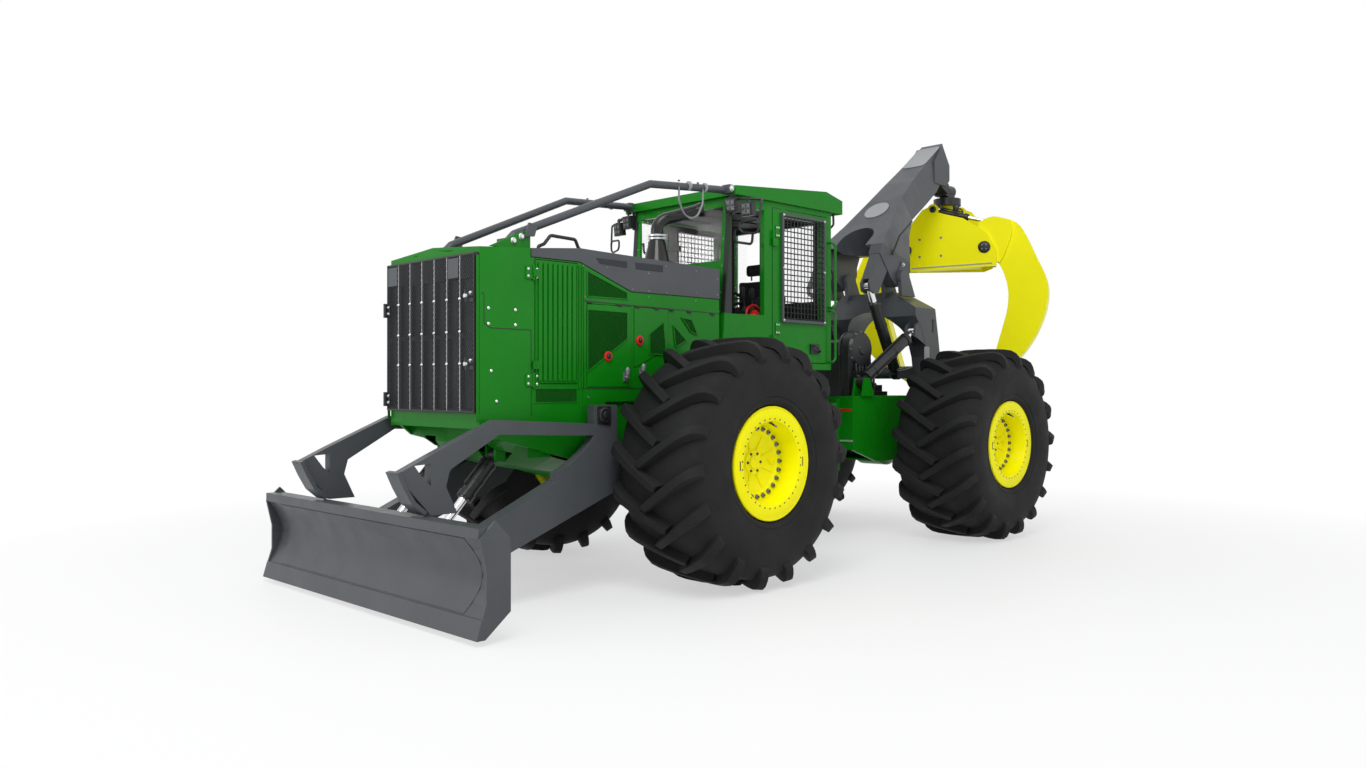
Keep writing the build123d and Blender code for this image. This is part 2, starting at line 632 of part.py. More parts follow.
def cab_shell():
    outer = loft(
        [cab_section(CAB_FLOOR, CAB_FRONT_LOW, 0), cab_section(CAB_TOP, CAB_FRONT_HIGH, 0)], ruled=True,
    )
    inner = loft([
        cab_section(CAB_FLOOR + CAB_WALL, CAB_FRONT_LOW, CAB_WALL),
        cab_section(CAB_TOP + 1, CAB_FRONT_HIGH, CAB_WALL),
    ], ruled=True)
    shell = outer - inner
    shell = shell - block(-530, 530, 0, 900, 2690, 3170)
    corner = block(400, 900, 640, 1010, 2215, 3160)
    shell = shell - both(corner)
    door = block(CAB_HALF - 120, CAB_HALF + 20, DOOR_FRONT_Y, DOOR_REAR_Y, DOOR_BOTTOM, DOOR_TOP)
    shell = shell - both(door)
    shell = shell - block(-520, 520, CAB_REAR_Y - 120, CAB_REAR_Y + 20, 2400, 3150)
    # seams between the lower body, the window posts and the roof rail
    for z in CAB_SEAMS:
        shell = shell - block(-900, 900, 400, 2100, z, z + SEAT_GAP)
    # door hinge knuckles on the front pillars, each over one of the door's
    hx, hy = DOOR_HINGE
    for z in DOOR_KNUCKLES:
        low = z + KNUCKLE + SEAT_GAP
        knuckle = cyl_z(hx, hy, 13, low, low + KNUCKLE)
        knuckle = knuckle + block(CAB_HALF - 5, hx, hy - 13, hy, low, low + KNUCKLE)
        shell = shell + both(knuckle)
    return shell


def cab_door():
    g = DOOR_GAP
    leaf = block(
        CAB_HALF - 38, CAB_HALF + 4, DOOR_FRONT_Y + g, DOOR_REAR_Y - g, DOOR_BOTTOM + g, DOOR_TOP - g,
    )
    y0, y1, z0, z1 = DOOR_WINDOW
    leaf = leaf - block(0, 900, y0, y1, z0, z1)
    hx, hy = DOOR_HINGE
    for z in DOOR_KNUCKLES:
        leaf = leaf + cyl_z(hx, hy, 13, z, z + KNUCKLE)
        leaf = leaf + block(CAB_HALF + 3, hx + 6, hy, hy + 58, z, z + KNUCKLE)
    return leaf


def cab_roof():
    low = CAB_TOP + 0.3
    outline = [
        (ROOF_FRONT_Y, low), (ROOF_REAR_Y, low), (ROOF_REAR_Y, 3380), (1890, 3440), (ROOF_FRONT_Y, 3330),
    ]
    return side_plate(outline, -ROOF_HALF, ROOF_HALF)


def cab_glass():
    """Fixed panes, each in its own opening."""
    slope = (CAB_FRONT_HIGH - CAB_FRONT_LOW) / (CAB_TOP - CAB_FLOOR)

    def face_y(z):
        return CAB_FRONT_LOW + slope * (z - CAB_FLOOR)

    z0, z1 = 2690.5, 3169.5
    front = side_plate([
        (face_y(z0) + 20, z0), (face_y(z0) + 28, z0), (face_y(z1) + 28, z1), (face_y(z1) + 20, z1),
    ], -529.5, 529.5)
    rear = block(-519.5, 519.5, CAB_REAR_Y - 26, CAB_REAR_Y - 18, 2400.5, 3149.5)
    return front + rear


def operator_station():
    floor = CAB_FLOOR + CAB_WALL
    pedestal = block(-170, 170, 1250, 1600, floor, 2080)
    cushion = block(-250, 250, 1180, 1690, 2080, 2200)
    back = block(-240, 240, 1640, 1760, 2200, 2800)
    left = block(300, 420, 1000, 1600, floor, 2250)
    return joined([pedestal, cushion, back]), both(left)


# ---------------------------------------------------------------- blade
def blade():
    """Curved mouldboard with end plates, top rail and cutting edge."""
    points_front = []
    steps = 6
    for k in range(steps + 1):
        t = k / steps
        z = BLADE_LOW + 110 + (BLADE_TOP - 60 - BLADE_LOW - 110) * t
        y = -2560 + 110 * sin(pi * t)
        points_front.append((y, z))
    back = [(y + 16, z) for y, z in reversed(points_front)]
    board = side_plate(points_front + back, -BLADE_HALF + 16, BLADE_HALF - 16)
    rail = block(-BLADE_HALF + 16, BLADE_HALF - 16, -2580, -2450, BLADE_TOP - 65, BLADE_TOP)
    edge = side_plate(
        [(-2600, BLADE_LOW), (-2575, BLADE_LOW), (-2540, 160), (-2565, 160)], -BLADE_HALF, BLADE_HALF,
    )
    end = side_plate([
        (-2600, BLADE_LOW), (-2540, BLADE_LOW), (-2353, 187), (-2353, 640), (-2466, 754),
        (-2577, 653), (-2530, 450), (-2530, 260),
    ], BLADE_HALF - 18, BLADE_HALF)
    beam = block(-BLADE_HALF + 16, BLADE_HALF - 16, -2450, BLADE_BACK - SEAT_GAP, 200, 420)
    return joined([board, rail, edge, both(end), beam])


def blade_frame():
    pivot_y, pivot_z = BLADE_PIVOT
    lower = side_plate([
        (BLADE_BACK, 190), (-1800, 400), (-860, 750),
        (pivot_y - 20, pivot_z - 110), (pivot_y + 110, pivot_z),
        (pivot_y, pivot_z + 120), (-900, 1100), (-1810, 690), (BLADE_BACK, 440),
    ], ARM_IN, ARM_OUT)
    riser = side_plate([
        (-1400, 850), (-800, 1040), (-810, 1430), (-1041, 1432), (-1041, 1200), (-1075, 1150), (-1150, 1080),
        (-1290, 985), (-1400, 935),
    ], ARM_IN + 40, ARM_OUT)
    hook = side_plate([
        (-2705, 1012), (-2655, 905), (-2595, 800), (-2506, 724),
        (-2480, 742), (-2568, 818), (-2628, 915), (-2675, 1020),
    ], ARM_IN - 15, ARM_OUT + 15)
    upper = side_plate([
        (-1041, 1200), (-1041, 1290), (-1930, 1339), (-2440, 1120), (-2702, 1000),
        (-2446, 716), (-2242, 716), (-2330, 900), (-2300, 1010), (-1902, 1235),
    ], ARM_IN + 40, ARM_OUT)
    hole = side_plate([(-2570, 1052), (-2446, 1060), (-2446, 913), (-2500, 960)], 500, 900)
    arm = lower + riser + upper - hole + hook
    bore = cyl_x(pivot_y, pivot_z, 50 + PIN_FIT, ARM_IN - 10, ARM_OUT + 10)
    arm = arm - bore
    tube = cyl_x(-1960, 450, 75, -ARM_IN - 5, ARM_IN + 5)
    frame = both(arm) + tube
    for side_x in (-1, 1):
        x = side_x * BLADE_CYL_X
        y, z = BLADE_CYL_EYE
        for ear in (-72, 47):
            frame = frame + block(x + ear, x + ear + 25, y - 45, -1980, z - 55, z + 45)
    return frame


# ---------------------------------------------------------------- rear chassis
def rear_frame():
    """Side plates with their cross members, each a plate of its own, and the brackets that they carry."""
    gap = SEAT_GAP
    axle_y = WHEELBASE
    inside = FRAME_HALF - FRAME_PLATE - gap
    deck_top = FRAME_TOP + 25
    frame = both(side_plate([
        (REAR_BOX_Y, 930), (REAR_BOX_Y + 400, 800), (axle_y - 390, 800), (axle_y - 300, AXLE_SEAT_Z),
        (axle_y + 300, AXLE_SEAT_Z), (axle_y + 390, 900), (REAR_TAIL_Y, 950), (REAR_TAIL_Y, 1300),
        (axle_y + 105, 1300), (axle_y + 25, FRAME_TOP), (REAR_BOX_Y, FRAME_TOP),
    ], FRAME_HALF - FRAME_PLATE, FRAME_HALF))
    frame = frame + block(-inside, inside, REAR_BOX_Y, REAR_BOX_Y + 30, 930, FRAME_TOP)
    frame = frame + block(-inside, inside, axle_y - 425, axle_y - 395, 810, FRAME_TOP)
    frame = frame + block(-FRAME_HALF, FRAME_HALF, REAR_BOX_Y, axle_y + 25, FRAME_TOP + gap, deck_top)
    frame = frame + block(-inside, inside, axle_y + 25, REAR_TAIL_Y - 30 - gap, 1270, 1300)
    frame = frame + block(-inside, inside, REAR_TAIL_Y - 30, REAR_TAIL_Y, 950, 1300)
    frame = frame + block(-inside, inside, REAR_BOX_Y + 400, axle_y - 425 - gap, 800, 820)
    # hinge plates, their pins and the web between them
    low_plate = LOWER_HINGE_Z - HINGE_GAP - HINGE_PLATE
    high_plate = UPPER_HINGE_Z + HINGE_PLATE + HINGE_GAP
    web_y = REAR_BOX_Y - 60
    web = block(-430, 430, web_y, REAR_BOX_Y - gap, low_plate, FRAME_TOP)
    upper_pin = cyl_z(0, PIVOT_Y, HINGE_PIN_R, UPPER_HINGE_Z - 20, high_plate + 5)
    lower_pin = cyl_z(0, PIVOT_Y, HINGE_PIN_R, low_plate + HINGE_PLATE - 5, LOWER_HINGE_Z + HINGE_PLATE + 20)
    for z, pin in ((high_plate, upper_pin), (low_plate, lower_pin)):
        neck = deck_plate(
            [(-430, web_y - gap), (-HINGE_R, PIVOT_Y), (HINGE_R, PIVOT_Y), (430, web_y - gap)],
            z, z + HINGE_PLATE,
        )
        frame = frame + (neck + cyl_z(0, PIVOT_Y, HINGE_R, z, z + HINGE_PLATE) + pin)
    frame = frame + web
    sx, sy = STEER_EYE
    for z in (STEER_Z - STEER_LUG_GAP - 25, STEER_Z + STEER_LUG_GAP):
        frame = frame + both(deck_plate([
            (sx - 60, sy - 60), (sx + 60, sy - 60), (sx + 98, web_y - gap), (sx - 98, web_y - gap),
        ], z, z + 25))
    # arch hinge ears with their pins, and arch ram clevises
    py, pz = ARCH_PIVOT
    foot_z = 1300 + gap
    ear = side_plate(
        [(py - 190, foot_z), (py + 190, foot_z), (py + 95, pz + 40), (py - 95, pz + 40)], 460, 540,
    )
    ear = ear + cyl_x(py, pz, 100, 460, 540) + cyl_x(py, pz, 45, 405, 600)
    frame = frame + both(ear)
    cy, cz = ARCH_CYL_BASE
    clevis = cyl_x(cy, cz, 30, ARCH_CYL_X - 70, ARCH_CYL_X + 70)
    for x in (ARCH_CYL_X - 70, ARCH_CYL_X + 45):
        clevis = clevis + side_plate([
            (cy - 40, cz + 40), (cy - 80, deck_top + gap), (cy + 120, deck_top + gap), (cy + 40, cz + 40),
        ], x, x + 25)
    frame = frame + both(clevis)
    # winch cheeks, the left one with the gear case
    wy, wz = WINCH_AXIS
    cheek = side_plate([
        (wy - 200, deck_top + gap), (wy + 260, deck_top + gap), (wy + 160, wz + 120), (wy, wz + 200),
        (wy - 140, wz + 120),
    ], 300, 325)
    cheeks = both(cheek) + cyl_x(wy, wz, 165, 320, 440)
    frame = frame + (cheeks - cyl_x(wy, wz, 60 + PIN_FIT, -330, 330))
    tx, ty = TIE_REAR
    eye = block(tx - 55, tx + 55, REAR_TAIL_Y + gap, ty + 55, TIE_REAR_Z, TIE_REAR_Z + TIE_PLATE)
    eye = eye - cyl_z(tx, ty, TIE_R, TIE_REAR_Z - 5, TIE_REAR_Z + TIE_PLATE + 5)
    return frame + both(eye)


def winch_drum():
    wy, wz = WINCH_AXIS
    drum = cyl_x(wy, wz, 110, -290, 290)
    flange = cyl_x(wy, wz, 185, 268, 290)
    shaft = cyl_x(wy, wz, 60, -324, 324)
    return drum + both(flange) + shaft


# ---------------------------------------------------------------- arch
def arch():
    """Portal frame that leans on two hinges, with ears for the boom on its crown."""
    a = ARCH_PIVOT[0]
    h = ARCH_HALF
    leg = h - ARCH_LEG
    outer = [
        (h - 20, 1440), (h, 1600), (h, 2430), (330, CROWN_TOP), (-330, CROWN_TOP), (-h, 2430), (-h, 1600),
        (-h + 20, 1440),
    ]
    profile = [
        (a - 420, CROWN_Z - 60), (a - 300, 2200), (a - 170, 1900),
        (a - 120, 1600), (a - 80, 1500), (a, 1465),
        (a + 80, 1500), (a + 130, 1600), (a + 40, 2110),
        (a - 30, 2460), (a - 150, CROWN_TOP), (a - 420, CROWN_TOP),
    ]
    frame = cross_plate(outer, a - 520, a + 230) & side_plate(profile, -h, h)
    rise = CROWN_Z - 2120
    arc_r = (leg * leg + rise * rise) / (2 * rise)
    portal = block(-leg, leg, a - 600, a + 300, 1400, 2120)
    vault = cyl_y(0, CROWN_Z - arc_r, arc_r, a - 600, a + 300) & block(
        -leg, leg, a - 600, a + 300, 2119, 2700,
    )
    frame = frame - portal - vault
    # long hole in each outer face
    hole = block(h - 12, h + 5, a - 90, a - 60, 2180, 2300)
    hole = hole + cyl_x(a - 75, 2180, 15, h - 12, h + 5) + cyl_x(a - 75, 2300, 15, h - 12, h + 5)
    frame = frame - both(hole)
    py, pz = ARCH_PIVOT
    slot = block(452, 548, py - 250, py + 250, 1400, pz + 120)
    frame = frame - both(slot)
    frame = frame - both(cyl_x(py, pz, 45 + PIN_FIT, 380, 640))
    ears = []
    by, bz = BOOM_PIVOT
    for x in (225, 444):
        ear = side_plate([
            (by - 10, 2560), (by + 200, 2560), (by + 90, bz + 10), (by - 85, bz + 10), (by - 60, 2560),
        ], x, x + 45)
        ears.append(ear + cyl_x(by, bz, 90, x, x + 45))
    frame = frame + both(joined(ears)) + both(cyl_x(by, bz, 40, 226, 488))
    cy, cz = BOOM_CYL_BASE
    tube_y = a - 125
    frame = frame + cyl_x(tube_y, 1730, 70, -leg - 20, leg + 20)
    for x in (BOOM_CYL_X - 62, BOOM_CYL_X + 38):
        plate = side_plate(
            [(cy - 42, cz - 42), (tube_y, 1680), (tube_y, 1790), (cy - 42, cz + 42)], x, x + 24,
        )
        frame = frame + both(plate)
    frame = frame + both(cyl_x(cy, cz, 30, BOOM_CYL_X - 62, BOOM_CYL_X + 62))
    ay, az = ARCH_CYL_EYE
    for x in (ARCH_CYL_X - 68, ARCH_CYL_X + 43):
        plate = side_plate([
            (ay - 60, az - 55), (a - 120, az - 190),
            (a - 120, az + 170), (ay - 20, az + 90), (ay - 60, az + 45),
        ], x, x + 25)
        frame = frame + both(plate)
    return frame


# ---------------------------------------------------------------- boom
def boom_section(half, top, low):
    points = [(-half, *top), (half, *top), (half, *low), (-half, *low)]
    return make_face(Polyline(*points, close=True))


def boom():
    """Box beam that splits into two legs around an arched opening; each leg has a foot for a ram
    and a rear heel for the pivot."""
    by, bz = BOOM_PIVOT
    stations = [
        # half width, top edge, lower edge
        (142, (by + 1334, 4500), (by + 1432, 4258)),
        (160, (by + 1080, 4300), (by + 1345, 4110)),
        (176, (by + 800, 4085), (by + 1150, 3890)),
        (190, (by + 620, 3948), (by + 925, 3724)),
        (232, (by + 330, 3705), (by + 540, 3480)),
        (328, (by + 5, 3405), (by + 330, 3260)),
        (430, (by - 350, 3110), (by + 190, 2940)),
    ]
    body = loft([boom_section(half, top, low) for half, top, low in stations], ruled=True)
    leg = side_plate([
        (by - 350, 3112), (by - 395, 3000), (by - 170, 2735),
        (by - 80, 2672), (by + 45, 2668), (by + 110, 2740),
        (by + 190, 2842), (by + 190, 2942),
    ], 285, 430)
    ey, ez = BOOM_CYL_EYE
    foot = side_plate([
        (ey + 110, 3000), (ey + 260, 2830), (ey + 90, 2570),
        (ey + 20, 2562), (ey - 60, 2590), (ey - 75, 2670),
        (ey - 20, 2760),
    ], BOOM_CYL_X - 62, BOOM_CYL_X + 62)
    foot = foot - block(BOOM_CYL_X - 38, BOOM_CYL_X + 38, ey - 200, ey + 420, 2400, ez + 75)
    body = body + both(leg + foot)
    # opening between the legs, square to the top face, with a round head
    head = (by - 217, 3200)
    across_top = Plane(origin=(0, head[0], head[1]), x_dir=(1, 0, 0), z_dir=(0, -0.642, 0.766))
    arched = across_top * (Cylinder(LEG_INNER, 1600) + Pos(0, -600, 0) * Box(2 * LEG_INNER, 1200, 1600))
    body = body - arched
    body = body - block(-285, 285, by - 900, by + 600, 2400, 3060)
    throat = block(-140, 140, by + 1140, by + 1600, 3800, 4330)
    body = body - throat
    tip = side_plate([
        (by + 1100, 3990), (by + 1360, 3985), (by + 1435, 4060),
        (by + 1435, 4240), (by + 1280, 4460), (by + 1100, 4250),
    ], 140, 180)
    body = body + both(tip)
    body = body - both(block(219, 275, by - 130, by + 200, 2500, bz + 110))
    body = body - both(block(438, 495, by - 130, by + 200, 2500, bz + 110))
    body = body - both(cyl_x(by, bz, 40 + PIN_FIT, 200, 500))
    hy, hz = HANGER_PIN
    return body + cyl_x(hy, hz, 40, -180, 180)


# ---------------------------------------------------------------- grapple
def grapple_hanger():
    hy, hz = HANGER_PIN
    eye = cyl_x(hy, hz, 85, -120, 120)
    arm = side_plate([
        (hy - 20, hz + 80), (GRAPPLE_Y - 150, SWAY_Z + 70),
        (GRAPPLE_Y - 150, SWAY_Z - 60), (hy - 20, hz - 80),
    ], -100, 100)
    fork = block(-75, 75, GRAPPLE_Y - 160, GRAPPLE_Y - 85, SWAY_Z - 75, SWAY_Z + 75)
    pin = cyl_y(0, SWAY_Z, 35, GRAPPLE_Y - 90, GRAPPLE_Y + 90)
    body = eye + arm + fork + pin
    return body - cyl_x(hy, hz, 40 + PIN_FIT, -200, 200)


def rotator_housing():
    eye = cyl_y(0, SWAY_Z, 75, GRAPPLE_Y - 78, GRAPPLE_Y + 85)
    neck = block(-60, 60, GRAPPLE_Y - 78, GRAPPLE_Y + 78, 3880, SWAY_Z)
    drum = cyl_z(0, GRAPPLE_Y, 165, ROTATOR_LOW, 3885)
    body = eye + neck + drum
    return body - cyl_y(0, SWAY_Z, 35 + PIN_FIT, GRAPPLE_Y - 200, GRAPPLE_Y + 200)


def turned_head(shape):
    """Place a grapple piece drawn across the machine under the rotator, turned as it hangs."""
    return Pos(0, GRAPPLE_Y, 0) * Rot(0, 0, GRAPPLE_YAW) * shape


def grapple_head():
    """Crosshead of two cheek plates. The far cheek is the near one turned end for end."""
    gap = SEAT_GAP
    outline = [
        (-524, 3030), (-420, 2990), (612, 3020), (604, 3210),
        (500, 3414), (420, 3482), (223, 3612), (25, 3668),
        (-75, 3700), (-200, 3770), (-270, 3740), (-441, 3530), (-503, 3265),
    ]
    inner = HEAD_HALF - HEAD_PLATE
    px, pz = TONG_PIVOT
    rx, rz = RAM_ANCHOR
    near = cross_plate(outline, -HEAD_HALF, -inner) + cyl_y(rx, rz, 68, -HEAD_HALF, -inner)
    near = near + cyl_y(rx, rz, 25, -HEAD_HALF, TONG_RAM_Y + TONG_RAM["eye_half"] + 5)
    near = near + cyl_y(px, pz, 42, -HEAD_HALF, inner - gap)
    core = block(-400, 400, -inner + gap, inner - gap, 3020, 3050)
    core = core + block(-150, 150, -inner + gap, inner - gap, 3050, 3250)
    core = core + block(-100, 100, -35, 35, 3250, 3680) + cyl_z(0, 0, 68, 3640, ROTATOR_LOW - gap)
    return turned_head(near + Rot(0, 0, 180) * near + core)


def tong_shape():
    """Curved log tong with a wider knuckle that carries its pivot and the ear of its ram."""
    outline = [
        (395, 3560), (560, 3620), (760, 3580), (870, 3510),
        (950, 3370), (1040, 3150), (1160, 2900), (1200, 2700),
        (1160, 2440), (1040, 2150), (840, 1870), (460, 1620),
        (540, 1800), (600, 2030), (680, 2310), (740, 2540),
        (740, 2790), (640, 3060), (520, 3130), (400, 3150),
    ]
    knuckle = [
        (395, 3560), (500, 3605), (570, 3620), (650, 3605),
        (760, 3560), (800, 3440), (700, 3150), (640, 3060),
        (520, 3130), (400, 3150),
    ]
    body = cross_plate(outline, -TONG_HALF, TONG_HALF) + cross_plate(knuckle, -KNUCKLE_HALF, KNUCKLE_HALF)
    body = body - cyl_y(TONG_PIVOT[0], TONG_PIVOT[1], 42 + PIN_FIT, -300, 300)
    slot_half = TONG_RAM["barrel_r"] + 5
    slot = block(
        300, TONG_EAR[0] + 65, TONG_RAM_Y - slot_half, TONG_RAM_Y + slot_half, TONG_EAR[1] - 110, 3760,
    )
    return body - slot


def tong_left():
    return turned_head(tong_shape())


def tong_right():
    return turned_head(Rot(0, 0, 180) * tong_shape())


def in_side_plane(x, point):
    return (x, point[0], point[1])


def ram_table():
    """Name, base pin, rod eye, pin axis, size; the left ram of each pair."""
    return [
        ("blade_ram", in_side_plane(BLADE_CYL_X, BLADE_CYL_BASE), in_side_plane(BLADE_CYL_X, BLADE_CYL_EYE),
         (1, 0, 0), BLADE_RAM),
        ("arch_ram", in_side_plane(ARCH_CYL_X, ARCH_CYL_BASE), in_side_plane(ARCH_CYL_X, ARCH_CYL_EYE),
         (1, 0, 0), ARCH_RAM),
        ("boom_ram", in_side_plane(BOOM_CYL_X, BOOM_CYL_BASE), in_side_plane(BOOM_CYL_X, BOOM_CYL_EYE),
         (1, 0, 0), BOOM_RAM),
    ]


def paired_rams():
    """Rams that move as one pair share a node for the barrels and one for the rods."""
    nodes = {}
    for name, base, eye, pin_axis, size in ram_table():
        barrel, rod = ram_parts(base, eye, pin_axis, size)
        nodes[name + "_barrels"] = both(barrel)
        nodes[name + "_rods"] = both(rod)
    return nodes


def steering_rams():
    base = (STEER_BASE[0], STEER_BASE[1], STEER_Z)
    eye = (STEER_EYE[0], STEER_EYE[1], STEER_Z)
    barrel, rod = ram_parts(base, eye, (0, 0, 1), STEER_RAM)
    return {
        "steering_barrel_left": barrel,
        "steering_rod_left": rod,
        "steering_barrel_right": mirrored(barrel),
        "steering_rod_right": mirrored(rod),
    }


def tong_rams():
    base = (RAM_ANCHOR[0], TONG_RAM_Y, RAM_ANCHOR[1])
    eye = (TONG_EAR[0], TONG_RAM_Y, TONG_EAR[1])
    barrel, rod = ram_parts(base, eye, (0, 1, 0), TONG_RAM)
    half_turn = Rot(0, 0, 180)
    return {
        "tong_barrel_left": turned_head(barrel),
        "tong_rod_left": turned_head(rod),
        "tong_barrel_right": turned_head(half_turn * barrel),
        "tong_rod_right": turned_head(half_turn * rod),
    }


def cab_steps():
    """Two treads hung under each door from a pair of side straps."""
    pieces = []
    for y in (1200, 1700):
        pieces.append(block(FRAME_HALF + SEAT_GAP, FRAME_HALF + 25, y, y + 30, 900, FRAME_TOP))
        pieces.append(block(FRAME_HALF + 10, 780, y, y + 30, 1290, 1330))
        pieces.append(block(FRAME_HALF + 10, 780, y, y + 30, 950, 990))
    for z in (960, 1300):
        pieces.append(block(FRAME_HALF + 25, 780, 1225, 1705, z, z + 20))
    return both(joined(pieces))


def export(name, shape, shift):
    moved = Pos(0, shift, 0) * shape
    export_step(moved, os.path.join("parts", name + ".step"))


def build_all():
    nodes = {}
    for side, side_name in ((1, "left"), (-1, "right")):
        for y, end_name in ((0.0, "front"), (WHEELBASE, "rear")):
            nodes["tyre_%s_%s" % (end_name, side_name)] = tyre_at(side * TRACK / 2, y)
            nodes["rim_%s_%s" % (end_name, side_name)] = rim_at(side, y)
    nodes["front_axle"] = axle_at(0.0)
    nodes["rear_axle"] = axle_at(WHEELBASE)
    nodes["front_frame"] = front_frame()
    nodes["belly_guard"] = belly_guard()
    nodes["engine"] = engine_block()
    nodes["radiator_housing"] = radiator_housing()
    nodes["grille_door"] = grille_door()
    door = louvre_door()
    nodes["louvre_door_left"] = door
    nodes["louvre_door_right"] = mirrored(door)
    nodes["engine_bonnet"] = engine_bonnet()
    nodes["engine_bay_sides"] = bay_sides()
    nodes["service_panels"] = service_panels()
    nodes["brush_guard"] = brush_guard()
    nodes["exhaust_stack"] = exhaust_stack()
    nodes["cab_shell"] = cab_shell()
    nodes["cab_roof"] = cab_roof()
    nodes["cab_glass"] = cab_glass()
    nodes["cab_door_left"] = cab_door()
    nodes["cab_door_right"] = mirrored(cab_door())
    seat, consoles = operator_station()
    nodes["operator_seat"] = seat
    nodes["control_consoles"] = consoles
    nodes["blade"] = blade()
    nodes["blade_frame"] = blade_frame()
    nodes["rear_frame"] = rear_frame()
    nodes["winch_drum"] = winch_drum()
    nodes["arch"] = arch()
    nodes["boom"] = boom()
    nodes["grapple_hanger"] = grapple_hanger()
    nodes["rotator_housing"] = rotator_housing()
    nodes["grapple_head"] = grapple_head()
    nodes["tong_left"] = tong_left()
    nodes["tong_right"] = tong_right()
    nodes["cab_steps"] = cab_steps()
    nodes.update(paired_rams())
    nodes.update(steering_rams())
    nodes.update(tong_rams())
    return nodes


def main():
    os.makedirs("parts", exist_ok=True)
    nodes = build_all()
    lows = [shape.bounding_box().min.Y for shape in nodes.values()]
    highs = [shape.bounding_box().max.Y for shape in nodes.values()]
    shift = -(min(lows) + max(highs)) / 2
    for name, shape in nodes.items():
        export(name, shape, shift)


main()
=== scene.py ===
import math

import bmesh
import bpy
from bpy.props import FloatProperty, FloatVectorProperty, IntProperty, PointerProperty
from mathutils import Euler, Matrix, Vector


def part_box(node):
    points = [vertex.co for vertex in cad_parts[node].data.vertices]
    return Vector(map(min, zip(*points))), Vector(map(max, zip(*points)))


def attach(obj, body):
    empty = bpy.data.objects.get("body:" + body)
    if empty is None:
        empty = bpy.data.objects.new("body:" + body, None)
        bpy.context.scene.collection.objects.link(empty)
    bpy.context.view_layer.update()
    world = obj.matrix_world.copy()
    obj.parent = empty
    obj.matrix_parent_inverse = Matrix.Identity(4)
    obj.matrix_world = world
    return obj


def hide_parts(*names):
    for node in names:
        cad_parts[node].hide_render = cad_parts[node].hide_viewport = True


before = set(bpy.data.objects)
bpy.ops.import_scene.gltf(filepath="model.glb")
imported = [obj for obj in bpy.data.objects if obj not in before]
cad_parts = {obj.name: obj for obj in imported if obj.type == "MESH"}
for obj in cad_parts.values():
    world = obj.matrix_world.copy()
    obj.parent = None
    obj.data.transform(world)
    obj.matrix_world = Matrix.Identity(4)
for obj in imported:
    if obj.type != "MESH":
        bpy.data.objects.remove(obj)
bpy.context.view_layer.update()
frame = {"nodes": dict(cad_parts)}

bl_info = {
    "name": "Grapple skidder",
    "version": (1, 0, 0),
    "blender": (4, 5, 0),
    "location": "3D View > Sidebar > Skidder",
    "description": "Finishes, tyres and fittings of an articulated grapple skidder",
    "category": "Add Mesh",
}

# the front axle's middle is the datum that every fitting is measured from
_low, _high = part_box("tyre_front_left")
AXLE_Y = (_low.y + _high.y) / 2
AXLE_Z = (_low.z + _high.z) / 2
TRACK = _low.x + _high.x
_low, _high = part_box("tyre_rear_left")
WHEELBASE = (_low.y + _high.y) / 2 - AXLE_Y

X, Y, Z = Vector((1, 0, 0)), Vector((0, 1, 0)), Vector((0, 0, 1))
BOTH = (1, -1)
SQUARE = ((-1, -1), (1, -1), (1, 1), (-1, 1))

# planes that fittings are seated on, from the front axle's middle, in metres
NOSE_FACE = -2.0043
NOSE_SIDE = 0.615
PANEL_SIDE = 0.619
BONNET_SIDE = 0.620
DOOR_SIDE = 0.704
HINGE_HEIGHTS = (2.410, 1.620)
BLADE_PIVOT_Y, BLADE_PIVOT_Z = -0.72, 1.0
WHEELS = (
    # body's ending, side of the machine, distance behind the front axle
    ("front_left", 1, 0.0),
    ("front_right", -1, 0.0),
    ("rear_left", 1, WHEELBASE),
    ("rear_right", -1, WHEELBASE),
)


